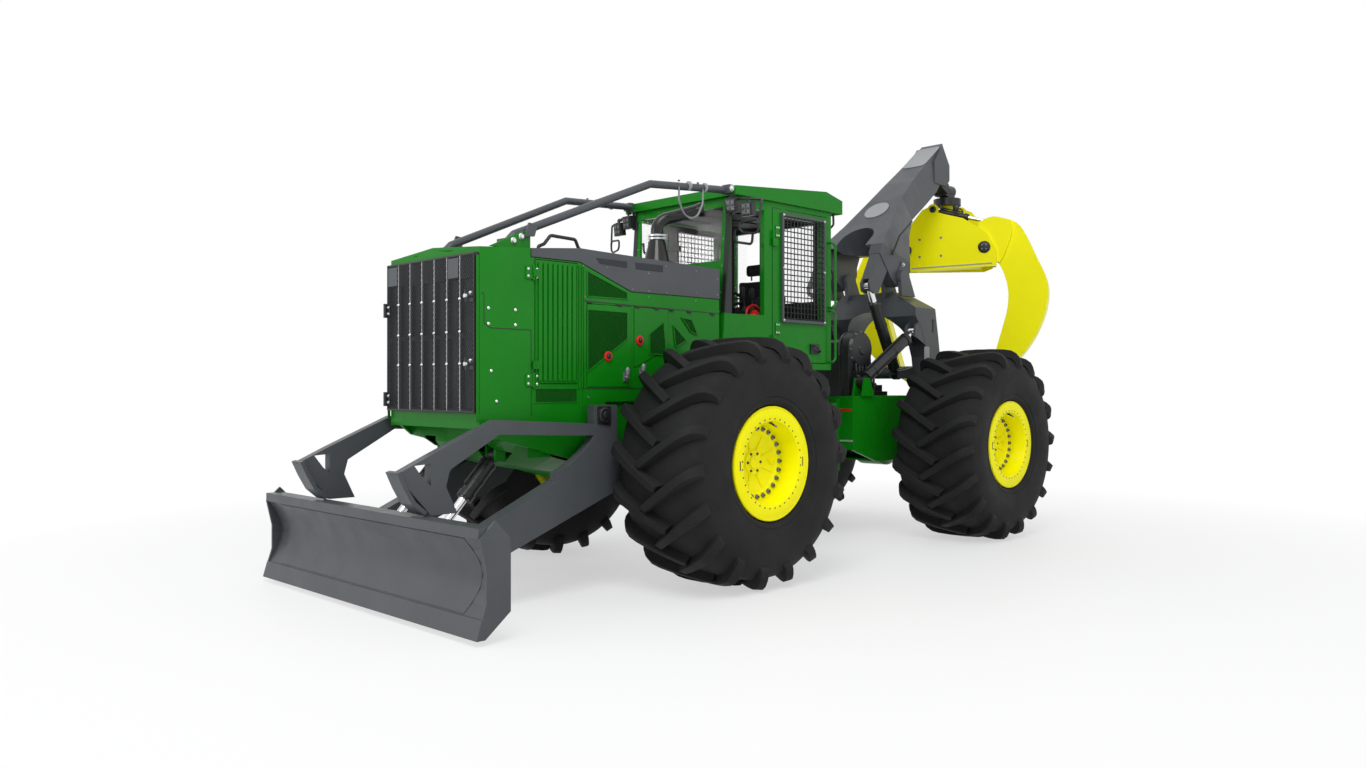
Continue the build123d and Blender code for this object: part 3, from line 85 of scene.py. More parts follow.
class Shape:
    """A mesh put together from plates, bars, tubes and bolts, in metres from the front axle."""

    def __init__(self):
        self.mesh = bmesh.new()

    def corner(self, point):
        return self.mesh.verts.new((point[0], point[1] + AXLE_Y, point[2]))

    def face(self, corners):
        try:
            return self.mesh.faces.new(corners)
        except ValueError:
            return None

    def plate(self, outline, thick):
        """A flat plate: its outline's points and the vector through its thickness."""
        points = [Vector(p) for p in outline]
        near = [self.corner(p) for p in points]
        far = [self.corner(p + Vector(thick)) for p in points]
        self.face(near)
        self.face(far[::-1])
        for i in range(len(points)):
            j = (i + 1) % len(points)
            self.face([near[i], far[i], far[j], near[j]])

    def block(self, low, high):
        x0, y0, z0 = low
        x1, y1, z1 = high
        self.plate([(x0, y0, z0), (x1, y0, z0), (x1, y1, z0), (x0, y1, z0)], (0, 0, z1 - z0))

    def side_block(self, side, low, high):
        """A block given for the left side, on either side of the machine."""
        self.block((side * low[0], *low[1:]), (side * high[0], *high[1:]))

    def rings(self, loops, closed=False, ends=True):
        """Skin over loops of points that have the same count."""
        rows = [[self.corner(p) for p in loop] for loop in loops]
        pairs = list(zip(rows, rows[1:]))
        if closed:
            pairs.append((rows[-1], rows[0]))
        for a, b in pairs:
            for i in range(len(a)):
                j = (i + 1) % len(a)
                self.face([a[i], a[j], b[j], b[i]])
        if ends and not closed:
            self.face(rows[0][::-1])
            self.face(rows[-1])

    def lathe(self, centre, axis, profile, sides=32, closed=False):
        """A turned form: its profile is (distance along the axis, radius) pairs."""
        axis = Vector(axis).normalized()
        u, v = across(axis)
        centre = Vector(centre)
        loops = []
        for along, radius in profile:
            middle = centre + axis * along
            loops.append([
                middle + (u * math.cos(a) + v * math.sin(a)) * radius
                for a in round_turn(sides)
            ])
        self.rings(loops, closed=closed, ends=not closed)

    def bar(self, start, end, radius, sides=12, end_radius=None):
        start, end = Vector(start), Vector(end)
        last = radius if end_radius is None else end_radius
        self.lathe(start, end - start, [(0, radius), ((end - start).length, last)], sides)

    def tube(self, points, radius, bend=0.05, sides=10, closed=False):
        """A bent tube along straight runs that are joined by arcs."""
        path = rounded([Vector(p) for p in points], bend, closed)
        loops = []
        normal = None
        for i, here in enumerate(path):
            before = path[i - 1] if i or closed else here
            after = path[(i + 1) % len(path)] if i + 1 < len(path) or closed else here
            along = (after - before).normalized()
            if normal is None:
                normal = across(along)[0]
            normal = (normal - along * normal.dot(along)).normalized()
            other = along.cross(normal)
            loops.append([
                here + (normal * math.cos(a) + other * math.sin(a)) * radius
                for a in round_turn(sides)
            ])
        self.rings(loops, closed=closed)

    def bolt(self, seat, direction, size=0.024):
        """A hexagon bolt head on its washer; size is across the flats."""
        direction = Vector(direction).normalized()
        seat = Vector(seat)
        self.lathe(seat, direction, [(-0.001, size * 0.8), (size * 0.12, size * 0.8)], 14)
        self.lathe(
            seat, direction,
            [(size * 0.1, size * 0.57), (size * 0.55, size * 0.57), (size * 0.66, size * 0.45)], 6,
        )

    def screen(self, origin, u, v, outline, pitch, angles, wire, lift=None):
        """Wires at the given angles, clipped to an outline in the plane of u and v."""
        origin, u, v = Vector(origin), Vector(u), Vector(v)
        normal = u.cross(v).normalized()
        for number, angle in enumerate(angles):
            c, s = math.cos(math.radians(angle)), math.sin(math.radians(angle))
            offsets = [-s * a + c * b for a, b in outline]
            step = math.ceil(min(offsets) / pitch)
            while step * pitch < max(offsets):
                for a, b in clipped(outline, c, s, step * pitch):
                    off = normal * (wire * 0.9 * number if lift is None else lift * number)
                    p = origin + u * a[0] + v * a[1] + off
                    q = origin + u * b[0] + v * b[1] + off
                    self.bar(p, q, wire, 4)
                step += 1

    def sheet(self, outline, holes, low, high, place):
        """A thick plate with holes; place turns (along, through, up) into a point."""
        curve = bpy.data.curves.new("outline", "CURVE")
        curve.dimensions = "2D"
        curve.fill_mode = "BOTH"
        curve.extrude = (high - low) / 2
        for loop in [outline] + holes:
            spline = curve.splines.new("POLY")
            spline.points.add(len(loop) - 1)
            spline.use_cyclic_u = True
            for point, (a, b) in zip(spline.points, loop):
                point.co = (a, b, 0, 1)
        holder = bpy.data.objects.new("outline", curve)
        bpy.context.scene.collection.objects.link(holder)
        bpy.context.view_layer.update()
        shown = holder.evaluated_get(bpy.context.evaluated_depsgraph_get())
        flat = bpy.data.meshes.new_from_object(shown)
        corners = [self.corner(place(v.co.x, v.co.z + (low + high) / 2, v.co.y)) for v in flat.vertices]
        for polygon in flat.polygons:
            self.face([corners[i] for i in polygon.vertices])
        bmesh.ops.remove_doubles(self.mesh, verts=corners, dist=0.00005)
        bpy.data.objects.remove(holder)
        bpy.data.curves.remove(curve)
        bpy.data.meshes.remove(flat)

    def show(self, name, body, slot, finish=None, bevel=0.0, turn=32.0):
        """Makes the mesh an object that rides on a body and wears a finish."""
        bmesh.ops.recalc_face_normals(self.mesh, faces=self.mesh.faces)
        data = bpy.data.meshes.new(name)
        self.mesh.to_mesh(data)
        self.mesh.free()
        data.polygons.foreach_set("use_smooth", [True] * len(data.polygons))
        data.set_sharp_from_angle(angle=math.radians(turn))
        data.materials.append(bpy.data.materials[finish or slot])
        piece = bpy.data.objects.new(name, data)
        bpy.context.scene.collection.objects.link(piece)
        if bevel:
            edge = piece.modifiers.new("edges", "BEVEL")
            edge.width = bevel
            edge.segments = 2
            edge.limit_method = "ANGLE"
            edge.angle_limit = math.radians(40)
            edge.harden_normals = True
        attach(piece, body)
        return piece


def across(axis):
    """Two directions square to an axis and to each other."""
    side = X if abs(axis.dot(X)) < 0.9 else Y
    u = (side - axis * side.dot(axis)).normalized()
    return u, axis.cross(u)


def shapes(count):
    return [Shape() for _ in range(count)]


def round_turn(count, start=0.0):
    """Angles that share out one full turn."""
    return [start + 2 * math.pi * k / count for k in range(count)]


def spoke(angle):
    """The direction out from a wheel's middle, at an angle round it."""
    return Vector((0, math.cos(angle), math.sin(angle)))


def tangent(angle):
    """The direction round a wheel, square to the spoke at that angle."""
    return Vector((0, -math.sin(angle), math.cos(angle)))


def mirrored(side, points):
    """Points given for the left side, on either side of the machine."""
    return [(side * x, y, z) for x, y, z in points]


def circle(middle, radius, sides=32):
    return [
        (middle[0] + radius * math.cos(a), middle[1] + radius * math.sin(a)) for a in round_turn(sides)
    ]


def eased(outline, sharp=0.85):
    """A closed outline whose gentle corners become one flowing curve; sharp corners stay."""
    count = len(outline)
    path = []
    for i in range(count):
        here, back, on = (Vector(outline[k % count]) for k in (i, i - 1, i + 1))
        if math.pi - (back - here).angle(on - here) > sharp:
            path.append(tuple(here))
            continue
        start, end = here.lerp(back, 0.48), here.lerp(on, 0.48)
        path += [
            tuple(start * (1 - t) ** 2 + here * 2 * t * (1 - t) + end * t * t)
            for t in (k / 6 for k in range(7))
        ]
    return path


def rounded(points, bend, closed=False):
    """Points of a path whose corners are turned into arcs."""
    count = len(points)
    path = []
    for i, here in enumerate(points):
        if not closed and i in (0, count - 1):
            path.append(here)
            continue
        back = points[i - 1] - here
        on = points[(i + 1) % count] - here
        turn = math.pi - back.angle(on)
        if turn < 0.02:
            path.append(here)
            continue
        cut = min(bend * math.tan(turn / 2), back.length * 0.48, on.length * 0.48)
        start = here + back.normalized() * cut
        end = here + on.normalized() * cut
        steps = max(2, int(turn / 0.3))
        for k in range(steps + 1):
            t = k / steps
            path.append(start * (1 - t) ** 2 + here * 2 * t * (1 - t) + end * t * t)
    return path


def clipped(outline, c, s, offset):
    """The stretches of one straight line that lie inside an outline."""
    hits = []
    for i, (x0, y0) in enumerate(outline):
        x1, y1 = outline[(i + 1) % len(outline)]
        d0 = -s * x0 + c * y0 - offset
        d1 = -s * x1 + c * y1 - offset
        if (d0 > 0) != (d1 > 0):
            t = d0 / (d0 - d1)
            hits.append((c * (x0 + (x1 - x0) * t) + s * (y0 + (y1 - y0) * t)))
    hits.sort()
    spans = []
    for near, far in zip(hits[::2], hits[1::2]):
        if far - near > 0.002:
            spans.append([(c * reach - s * offset, s * reach + c * offset) for reach in (near, far)])
    return spans


# ---------------------------------------------------------------- settings


def length(name, description, default):
    return FloatProperty(name=name, description=description, default=default, min=0.0, unit="LENGTH")


def paint(name, description, default):
    return FloatVectorProperty(
        name=name, description=description, default=default, size=3, min=0.0, max=1.0, subtype="COLOR",
    )


class SkidderSizes(bpy.types.PropertyGroup):
    """Sizes of the fittings that a user may change"""

    lug_count: IntProperty(
        name="Lugs a side", description="Tread bars on each half of a tyre", default=18, min=6,
    )
    lug_depth: length("Lug depth", "Height of a tread bar over the carcass", 0.072)
    lug_width: length("Lug width", "Width of a tread bar at its top", 0.066)
    grille_pitch: length("Grille pitch", "Spacing of the wires in the nose grille", 0.021)
    guard_pitch: length("Window mesh pitch", "Spacing of the wires in the cab's window guards", 0.050)
    bolt_size: length("Bolt size", "Width of a body bolt across its flats", 0.024)


class SkidderPaints(bpy.types.PropertyGroup):
    """Colours of the machine's finishes"""

    body: paint("Body paint", "Green of the bodywork", (0.004, 0.190, 0.005))
    frame: paint("Frame paint", "Dark grey of the blade, boom and arch", (0.066, 0.072, 0.079))
    bright: paint("Bright paint", "Yellow of the rims and grapple", (1.0, 0.92, 0.001))
    rubber: paint("Rubber", "Colour of the tyres", (0.0125, 0.0125, 0.0130))


# ---------------------------------------------------------------- finishes


class Wiring:
    """The node tree of one finish."""

    def __init__(self, name):
        old = bpy.data.materials.get(name)
        if old:
            old.name = name + "_packed"
        self.material = bpy.data.materials.new(name)
        self.material.use_nodes = True
        self.tree = self.material.node_tree
        self.shader = self.tree.nodes["Principled BSDF"]
        self.place = self.node("ShaderNodeTexCoord").outputs["Object"]

    def node(self, kind, **settings):
        made = self.tree.nodes.new(kind)
        for key, value in settings.items():
            setattr(made, key, value)
        return made

    def link(self, source, target):
        self.tree.links.new(source, target)

    def noise(self, scale, detail=3.0, rough=0.55):
        made = self.node("ShaderNodeTexNoise")
        made.inputs["Scale"].default_value = scale
        made.inputs["Detail"].default_value = detail
        made.inputs["Roughness"].default_value = rough
        self.link(self.place, made.inputs["Vector"])
        return made.outputs["Fac"]

    def spread(self, source, low, high, to_low, to_high):
        made = self.node("ShaderNodeMapRange")
        for key, value in (("From Min", low), ("From Max", high), ("To Min", to_low), ("To Max", to_high)):
            made.inputs[key].default_value = value
        self.link(source, made.inputs["Value"])
        return made.outputs["Result"]

    def sum(self, kind, a, b):
        made = self.node("ShaderNodeMath", operation=kind)
        for socket, value in zip(made.inputs, (a, b)):
            if isinstance(value, (int, float)):
                socket.default_value = value
            else:
                self.link(value, socket)
        return made.outputs[0]

    def mix(self, share, a, b):
        made = self.node("ShaderNodeMix", data_type="RGBA")
        self.link(share, made.inputs["Factor"])
        for socket, value in ((made.inputs["A"], a), (made.inputs["B"], b)):
            if isinstance(value, tuple):
                socket.default_value = (*value, 1.0)
            else:
                self.link(value, socket)
        return made.outputs["Result"]

    def bump(self, height, depth, strength=0.5, normal=None):
        made = self.node("ShaderNodeBump")
        made.inputs["Strength"].default_value = strength
        made.inputs["Distance"].default_value = depth
        self.link(height, made.inputs["Height"])
        if normal:
            self.link(normal, made.inputs["Normal"])
        return made.outputs["Normal"]


def tint(colour, share):
    return tuple(min(1.0, c * share) for c in colour)


def new_finish(name, colour, roughness, metal=0.0, coat=0.0, vary=0.12, soil=0.0, edge_wear_and_highlight=0.0,
               edge=0.004, grain=260.0, depth=0.0004, strength=0.12, swirl=None, shine=0.25):
    """A finish with colour that varies, edges painted lighter as worn paint and a painted highlight, and a
    fine surface.
    """
    w = Wiring(name)
    shader = w.shader.inputs
    clouds = w.spread(w.noise(1.9, 4.0), 0.32, 0.68, 0.0, 1.0)
    base = w.mix(clouds, tint(colour, 1 - vary), tint(colour, 1 + vary))
    normal = None
    if edge:
        rim = w.node("ShaderNodeBevel", samples=4)
        rim.inputs["Radius"].default_value = edge
        normal = rim.outputs["Normal"]
    # edges painted lighter where the bevelled normal turns from the face: partly worn paint, partly a
    # painted highlight along the edges
    if edge_wear_and_highlight and edge:
        facing = w.node("ShaderNodeVectorMath", operation="DOT_PRODUCT")
        w.link(normal, facing.inputs[0])
        w.link(w.node("ShaderNodeNewGeometry").outputs["Normal"], facing.inputs[1])
        edges = w.spread(facing.outputs["Value"], 0.80, 0.985, 1.0, 0.0)
        broken = w.spread(w.noise(26.0, 5.0, 0.7), 0.42, 0.62, 0.0, edge_wear_and_highlight)
        base = w.mix(w.sum("MULTIPLY", edges, broken), base, tuple(0.5 * c + 0.08 for c in colour))
    if soil:
        apart = w.node("ShaderNodeSeparateXYZ")
        w.link(w.place, apart.inputs[0])
        low = w.spread(apart.outputs["Z"], 0.1, 1.5, soil, 0.0)
        spots = w.spread(w.noise(9.0, 6.0, 0.65), 0.35, 0.7, 0.25, 1.0)
        base = w.mix(w.sum("MULTIPLY", low, spots), base, (0.085, 0.072, 0.055))
    w.link(base, shader["Base Color"])
    rough = w.spread(w.noise(5.0, 5.0), 0.3, 0.7, max(0.02, roughness - 0.06), roughness + 0.08)
    w.link(rough, shader["Roughness"])
    height = swirl(w) if swirl else w.noise(grain, 2.0)
    w.link(w.bump(height, depth, strength, normal), shader["Normal"])
    shader["Metallic"].default_value = metal
    shader["Specular IOR Level"].default_value = shine
    if coat:
        shader["Coat Weight"].default_value = coat
        shader["Coat Roughness"].default_value = 0.06
    return w


# radians of the weave's wave to the metre
WEAVE = 1900.0


def woven(w):
    """Height of a plain weave, about three threads to the centimetre."""
    apart = w.node("ShaderNodeSeparateXYZ")
    w.link(w.place, apart.inputs[0])
    threads = []
    for axis in ("X", "Y", "Z"):
        threads.append(w.sum("SINE", w.sum("MULTIPLY", apart.outputs[axis], WEAVE), 0.0))
    return w.sum("ADD", w.sum("MULTIPLY", threads[0], threads[1]), threads[2])


def ground_rubber(w):
    """Height of moulded rubber: fine pits over slow ripples."""
    return w.sum("ADD", w.noise(150.0, 5.0, 0.75), w.noise(18.0, 4.0))


def make_finishes(paints):
    green = tuple(paints.body)
    grey = tuple(paints.frame)
    yellow = tuple(paints.bright)
    new_finish("green_paint", green, 0.30, coat=0.04, vary=0.06, soil=0.04, edge_wear_and_highlight=0.22, shine=0.16)
    # darker copy of the body green: painted shade for the perforated screens and the nose vents, on their
    # wires and backing
    new_finish("green_screen_shade", tint(green, 0.42), 0.50, vary=0.10, edge_wear_and_highlight=0.1, shine=0.12)
    new_finish("dark_grey_paint", grey, 0.40, coat=0.05, vary=0.08, soil=0.06, edge_wear_and_highlight=0.4, shine=0.30)
    new_finish("yellow_paint", yellow, 0.36, coat=0.03, vary=0.03, edge_wear_and_highlight=0.10, shine=0.12)
    new_finish("black_paint", (0.016, 0.017, 0.018), 0.34, vary=0.2, edge_wear_and_highlight=0.35, shine=0.35)
    new_finish("tyre_rubber", tuple(paints.rubber), 0.72, vary=0.22, soil=0.06, edge=0.006,
               depth=0.0016, strength=0.35, swirl=ground_rubber, shine=0.20)
    new_finish("rod_chrome", (0.78, 0.78, 0.80), 0.12, metal=1.0, vary=0.04, edge=0.0, depth=0.0001)
    new_finish("zinc_plate", (0.60, 0.61, 0.62), 0.32, metal=1.0, vary=0.10, edge=0.001, depth=0.0002)
    new_finish("vent_shade", tint(grey, 0.45), 0.55, vary=0.15, shine=0.15)
    new_finish("bolt_steel", (0.22, 0.23, 0.24), 0.42, metal=0.5, vary=0.15, edge=0.001, depth=0.0002)
    new_finish("grille_wire", (0.040, 0.041, 0.044), 0.40, metal=0.3, vary=0.15, edge=0.0, depth=0.0002)
    new_finish("exhaust_steel", (0.010, 0.010, 0.011), 0.20, coat=0.12, vary=0.2, shine=0.35)
    new_finish("seat_fabric", (0.016, 0.016, 0.018), 0.86, vary=0.2, edge=0.0, depth=0.0010,
               strength=0.6, swirl=woven)
    new_finish("console_plastic", (0.022, 0.022, 0.024), 0.55, vary=0.12, grain=700.0, strength=0.3)
    new_finish("engine_iron", (0.03, 0.035, 0.03), 0.62, vary=0.25, grain=90.0, depth=0.002, strength=0.4)
    new_finish("pale_pad", (0.34, 0.35, 0.35), 0.52, vary=0.10, grain=400.0, strength=0.4)
    new_finish("lamp_lens", (0.05, 0.053, 0.057), 0.25, vary=0.12, coat=0.2)
    new_finish("signal_red", (0.62, 0.012, 0.010), 0.40, vary=0.08)
    glass = new_finish(
        "window_glass", (0.90, 0.93, 0.92), 0.03, vary=0.02, edge=0.0, depth=0.00002, strength=0.02,
        shine=0.08,
    )
    glass.shader.inputs["Transmission Weight"].default_value = 1.0
    glass.shader.inputs["IOR"].default_value = 1.45
    glass.shader.inputs["Alpha"].default_value = 0.08


NODE_FINISH = {
    "green_paint": (
        "radiator_housing", "engine_bay_sides", "service_panels", "louvre_door_left",
        "louvre_door_right", "cab_shell", "cab_roof", "cab_door_left", "cab_door_right",
        "belly_guard", "front_frame", "rear_frame", "front_axle", "rear_axle",
    ),
    "dark_grey_paint": (
        "engine_bonnet", "brush_guard", "cab_steps", "blade_frame", "blade", "arch", "boom",
        "winch_drum",
    ),
    "black_paint": (
        "grille_door", "grapple_hanger", "rotator_housing", "blade_ram_barrels",
        "arch_ram_barrels", "boom_ram_barrels", "steering_barrel_left", "steering_barrel_right",
        "tong_barrel_left", "tong_barrel_right",
    ),
    "yellow_paint": (
        "grapple_head", "tong_left", "tong_right", "rim_front_left", "rim_front_right",
        "rim_rear_left", "rim_rear_right",
    ),
    "rod_chrome": (
        "blade_ram_rods", "arch_ram_rods", "boom_ram_rods", "steering_rod_left",
        "steering_rod_right", "tong_rod_left", "tong_rod_right",
    ),
    "exhaust_steel": ("exhaust_stack",),
    "window_glass": ("cab_glass",),
    "console_plastic": ("control_consoles",),
    "engine_iron": ("engine",),
}


# ---------------------------------------------------------------- wheels

# across from the tyre's middle and radius, from the middle of the tread to the bead
CARCASS = (
    (0.000, 0.912), (0.160, 0.910), (0.290, 0.902), (0.362, 0.878), (0.408, 0.838), (0.438, 0.775),
    (0.450, 0.690), (0.444, 0.600), (0.430, 0.535), (0.428, 0.520), (0.419, 0.512), (0.421, 0.488),
    (0.410, 0.470), (0.388, 0.449),
)
# along a tread bar: across, radius of its top, radius of its foot
BAR_STATIONS = (
    (-0.105, 0.970, 0.905), (-0.050, 0.978, 0.908), (0.060, 0.980, 0.908), (0.180, 0.980, 0.905),
    (0.290, 0.977, 0.898), (0.352, 0.968, 0.880), (0.402, 0.942, 0.850), (0.432, 0.900, 0.815),
    (0.447, 0.858, 0.790), (0.450, 0.815, 0.765),
)
BAR_SWEEP = 0.34
BAR_START, BAR_LENGTH = -0.105, 0.555
# where a tread bar starts to tuck in under the shoulder, over what width and by how much
TUCK_START, TUCK_WIDTH, TUCK_DEPTH = 0.35, 0.1, 0.030


def make_tyre(name, side, along, sizes):
    tyre = Shape()
    hub = Vector((side * TRACK / 2, along, AXLE_Z))
    inner = [(-x, r) for x, r in CARCASS[:0:-1]]
    tyre.lathe(hub, X, inner + list(CARCASS), 96, closed=True)
    pitch = 2 * math.pi / sizes.lug_count
    for half in BOTH:
        for number in range(sizes.lug_count):
            start = number * pitch + (pitch / 2 if half < 0 else 0)
            tops, feet = [], []
            for x, top, foot in BAR_STATIONS:
                angle = start + BAR_SWEEP * (x - BAR_START) / BAR_LENGTH
                out = Vector((0, -math.cos(angle), math.sin(angle)))
                tuck = TUCK_DEPTH * max(0.0, (x - TUCK_START) / TUCK_WIDTH)
                tops.append(hub + X * half * x + out * top)
                feet.append(hub + X * half * (x - tuck) + out * foot)
            loops = []
            last = len(tops) - 1
            for i, (top, foot) in enumerate(zip(tops, feet)):
                along_bar = (tops[min(i + 1, last)] - tops[max(i - 1, 0)]).normalized()
                up = (top - foot).normalized()
                wide = along_bar.cross(up).normalized()
                share = i / last
                half_top = sizes.lug_width * (0.42 + 0.16 * share)
                half_foot = half_top + 0.016
                lean = along_bar * (0.018 if i == 0 else 0.0)
                loops.append([
                    foot - wide * half_foot, foot + wide * half_foot,
                    top + lean + wide * half_top, top + lean - wide * half_top,
                ])
            tyre.rings(loops)
    piece = tyre.show("tread_" + name, "wheel_" + name, "tyre_rubber", bevel=0.008)
    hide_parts("tyre_" + name)


# rims, out from the wheel's middle and from its axle
NUT_SEAT, NUT_CIRCLE, NUT_COUNT = 0.241, 0.267, 24
HOLE_FACE, HOLE_CIRCLE, HOLE_COUNT = 0.4005, 0.345, 36
HUB_FACE, HUB_BOLT_CIRCLE = 0.214, 0.075


def make_wheel_fittings(name, side, along):
    body = "wheel_" + name
    hub = Vector((side * TRACK / 2, along, AXLE_Z))
    out = X * side
    dish = Shape()
    dish.lathe(hub, out, [
        (0.384, 0.441), (0.397, 0.439), (0.401, 0.432), (0.401, 0.336), (0.397, 0.327), (0.384, 0.322),
        (0.262, 0.294), (0.241, 0.290), (0.241, 0.246), (0.234, 0.238), (0.222, 0.228), (0.198, 0.112),
        (0.200, 0.100), (0.214, 0.094), (0.214, 0.006), (0.196, 0.006), (0.180, 0.112), (0.210, 0.240),
        (0.226, 0.300), (0.370, 0.334), (0.384, 0.345),
    ], 72, closed=True)
    dish.lathe(hub, out, [(0.400, 0.437), (0.405, 0.436), (0.405, 0.430), (0.400, 0.429)], 72, closed=True)
    for a in round_turn(8, math.pi / 8):
        d, t = spoke(a), tangent(a)
        root = hub + out * 0.200
        dish.plate([
            root + d * 0.102 - t * 0.005, root + d * 0.226 + out * 0.018 - t * 0.005,
            root + d * 0.214 + out * 0.028 - t * 0.005, root + d * 0.108 + out * 0.012 - t * 0.005,
        ], t * 0.010)
    for a in (0.0, 2.4, 4.2):
        dish.lathe(
            hub + out * 0.212 + spoke(a) * 0.198, out,
            [(0.0, 0.030), (0.020, 0.026), (0.022, 0.014), (0.010, 0.012)], 20,
        )
    dish.show("rim_dish_" + name, body, "yellow_paint", bevel=0.0015)

    dark, nuts = shapes(2)
    # black discs stand in for the rim's holes: painted shade seen through them
    for k in range(HOLE_COUNT):
        seat = hub + out * HOLE_FACE + spoke(2 * math.pi * (k + 0.5) / HOLE_COUNT) * HOLE_CIRCLE
        dark.bar(seat, seat + out * 0.0022, 0.0065, 10)
    for a in round_turn(NUT_COUNT):
        d = spoke(a) * NUT_CIRCLE
        nuts.bolt(hub + out * NUT_SEAT + d, out, 0.026)
        dark.bar(hub + out * 0.257 + d, hub + out * 0.264 + d, 0.0090, 8)
    for a in (0.0, math.pi):
        d, t = spoke(a), tangent(a)
        root = hub + out * 0.4008 + d * 0.364
        dark.plate(
            [
                root - t * 0.035, root + t * 0.035, root + t * 0.035 + d * 0.009,
                root - t * 0.035 + d * 0.009,
            ],
            out * 0.002,
        )
    hub_face = hub + out * HUB_FACE
    for a in round_turn(6):
        dark.lathe(
            hub_face + spoke(a) * HUB_BOLT_CIRCLE, out, [(0.0, 0.011), (0.006, 0.010), (0.006, 0.002)], 12,
        )
    valve = hub + Vector((0, 0.02, 0.322))
    dark.tube(
        [valve + out * 0.33, valve + out * 0.37 - Z * 0.012, valve + out * 0.405 - Z * 0.030], 0.009, 0.02,
        8,
    )
    dark.show("rim_holes_" + name, body, "black_paint")
    nuts.bar(valve + out * 0.398 - Z * 0.027, valve + out * 0.425 - Z * 0.040, 0.008, 8)
    nuts.show("rim_nuts_" + name, body, "rod_chrome", finish="bolt_steel")

    cap = Shape()
    cap.lathe(hub_face, out, [(-0.002, 0.056), (0.008, 0.055), (0.014, 0.048), (0.014, 0.002)], 40)
    cap.bar(hub_face + out * 0.012 + Z * 0.025, hub_face + out * 0.020 + Z * 0.025, 0.010, 6)
    cap.show("hub_cap_" + name, body, "yellow_paint", bevel=0.002)


# ---------------------------------------------------------------- nose and bodywork


def make_grille(sizes):
    mesh, seams, studs, plates = shapes(4)
    half, low, high = 0.600, 1.398, 2.508
    pitch = 2 * half / 7
    face = NOSE_FACE - 0.0035
    for column in range(7):
        left = -half + column * pitch + 0.008
        right = left + pitch - 0.016
        mesh.screen((0, face, 0), X, Z, [(left, low), (right, low), (right, high), (left, high)],
                    sizes.grille_pitch, (52, -52), 0.0026, lift=0.001)
    for seam in range(1, 7):
        x = -half + seam * pitch
        seams.block((x - 0.0025, face - 0.004, low), (x + 0.0025, NOSE_FACE, high))
        for k in range(27):
            z = low + 0.025 + k * 0.041
            seams.bar((x, face - 0.002, z), (x, face - 0.008, z), 0.0042, 8)
        for z in (2.20, 1.965, 1.735):
            studs.lathe(
                (x, face - 0.004, z), -Y, [(0, 0.012), (0.004, 0.011), (0.009, 0.007), (0.010, 0.001)], 14,
            )
    for column in (0, 5):
        left = -half + column * pitch + 0.018
        plates.block((left, face - 0.007, 2.352), (left + pitch - 0.036, face - 0.003, 2.496))
    frame_bars = Shape()
    for x in (-half, half):
        frame_bars.block((x - 0.005, face - 0.004, low), (x + 0.005, NOSE_FACE, high))
    for z in (low - 0.012, high - 0.002):
        frame_bars.block((-half - 0.006, face - 0.004, z), (half + 0.006, NOSE_FACE, z + 0.014))
    mesh.show("grille_mesh", "grille_door", "black_paint", finish="grille_wire", turn=20)
    seams.show("grille_seams", "grille_door", "rod_chrome", finish="zinc_plate")
    frame_bars.show("grille_frame", "grille_door", "black_paint", bevel=0.002)
    plates.show("grille_plates", "grille_door", "dark_grey_paint", bevel=0.003)

    handles = Shape()
    for z in (2.209, 1.731):
        x = 0.588
        handles.block((x - 0.028, NOSE_FACE - 0.012, z - 0.040), (x + 0.018, NOSE_FACE, z + 0.040))
        handles.bar((x, NOSE_FACE - 0.01, z), (x, NOSE_FACE - 0.060, z), 0.011)
        handles.bar(
            (x - 0.010, NOSE_FACE - 0.060, z + 0.045), (x + 0.008, NOSE_FACE - 0.060, z - 0.045), 0.0095,
        )
        studs.bolt((x - 0.016, NOSE_FACE - 0.012, z + 0.026), -Y, 0.016)
        studs.bar((x - 0.001, NOSE_FACE - 0.058, z), (x - 0.001, NOSE_FACE - 0.074, z), 0.015, 8)
    for z in (2.165, 1.474):
        x = -0.600
        handles.block((x - 0.002, NOSE_FACE - 0.014, z - 0.045), (x + 0.050, NOSE_FACE, z + 0.045))
        handles.bar((x, NOSE_FACE - 0.024, z - 0.055), (x, NOSE_FACE - 0.024, z + 0.055), 0.015)
        studs.bolt((x + 0.032, NOSE_FACE - 0.014, z + 0.025), -Y, 0.016)
        studs.bolt((x + 0.032, NOSE_FACE - 0.014, z - 0.025), -Y, 0.016)
    handles.show("grille_latches", "grille_door", "black_paint", bevel=0.003)
    studs.show("grille_bolts", "grille_door", "rod_chrome", finish="zinc_plate")


def groove(shape, points, side, face, width=0.006):
    """A dark seam along points (y, z) of a side panel."""
    for (y0, z0), (y1, z1) in zip(points, points[1:]):
        a, b = Vector((0, y0, z0)), Vector((0, y1, z1))
        along = (b - a).normalized()
        off = X.cross(along) * width / 2
        lift = X * side * (face + 0.0002)
        shape.plate([a - off + lift, b - off + lift, b + off + lift, a + off + lift], X * side * 0.0012)


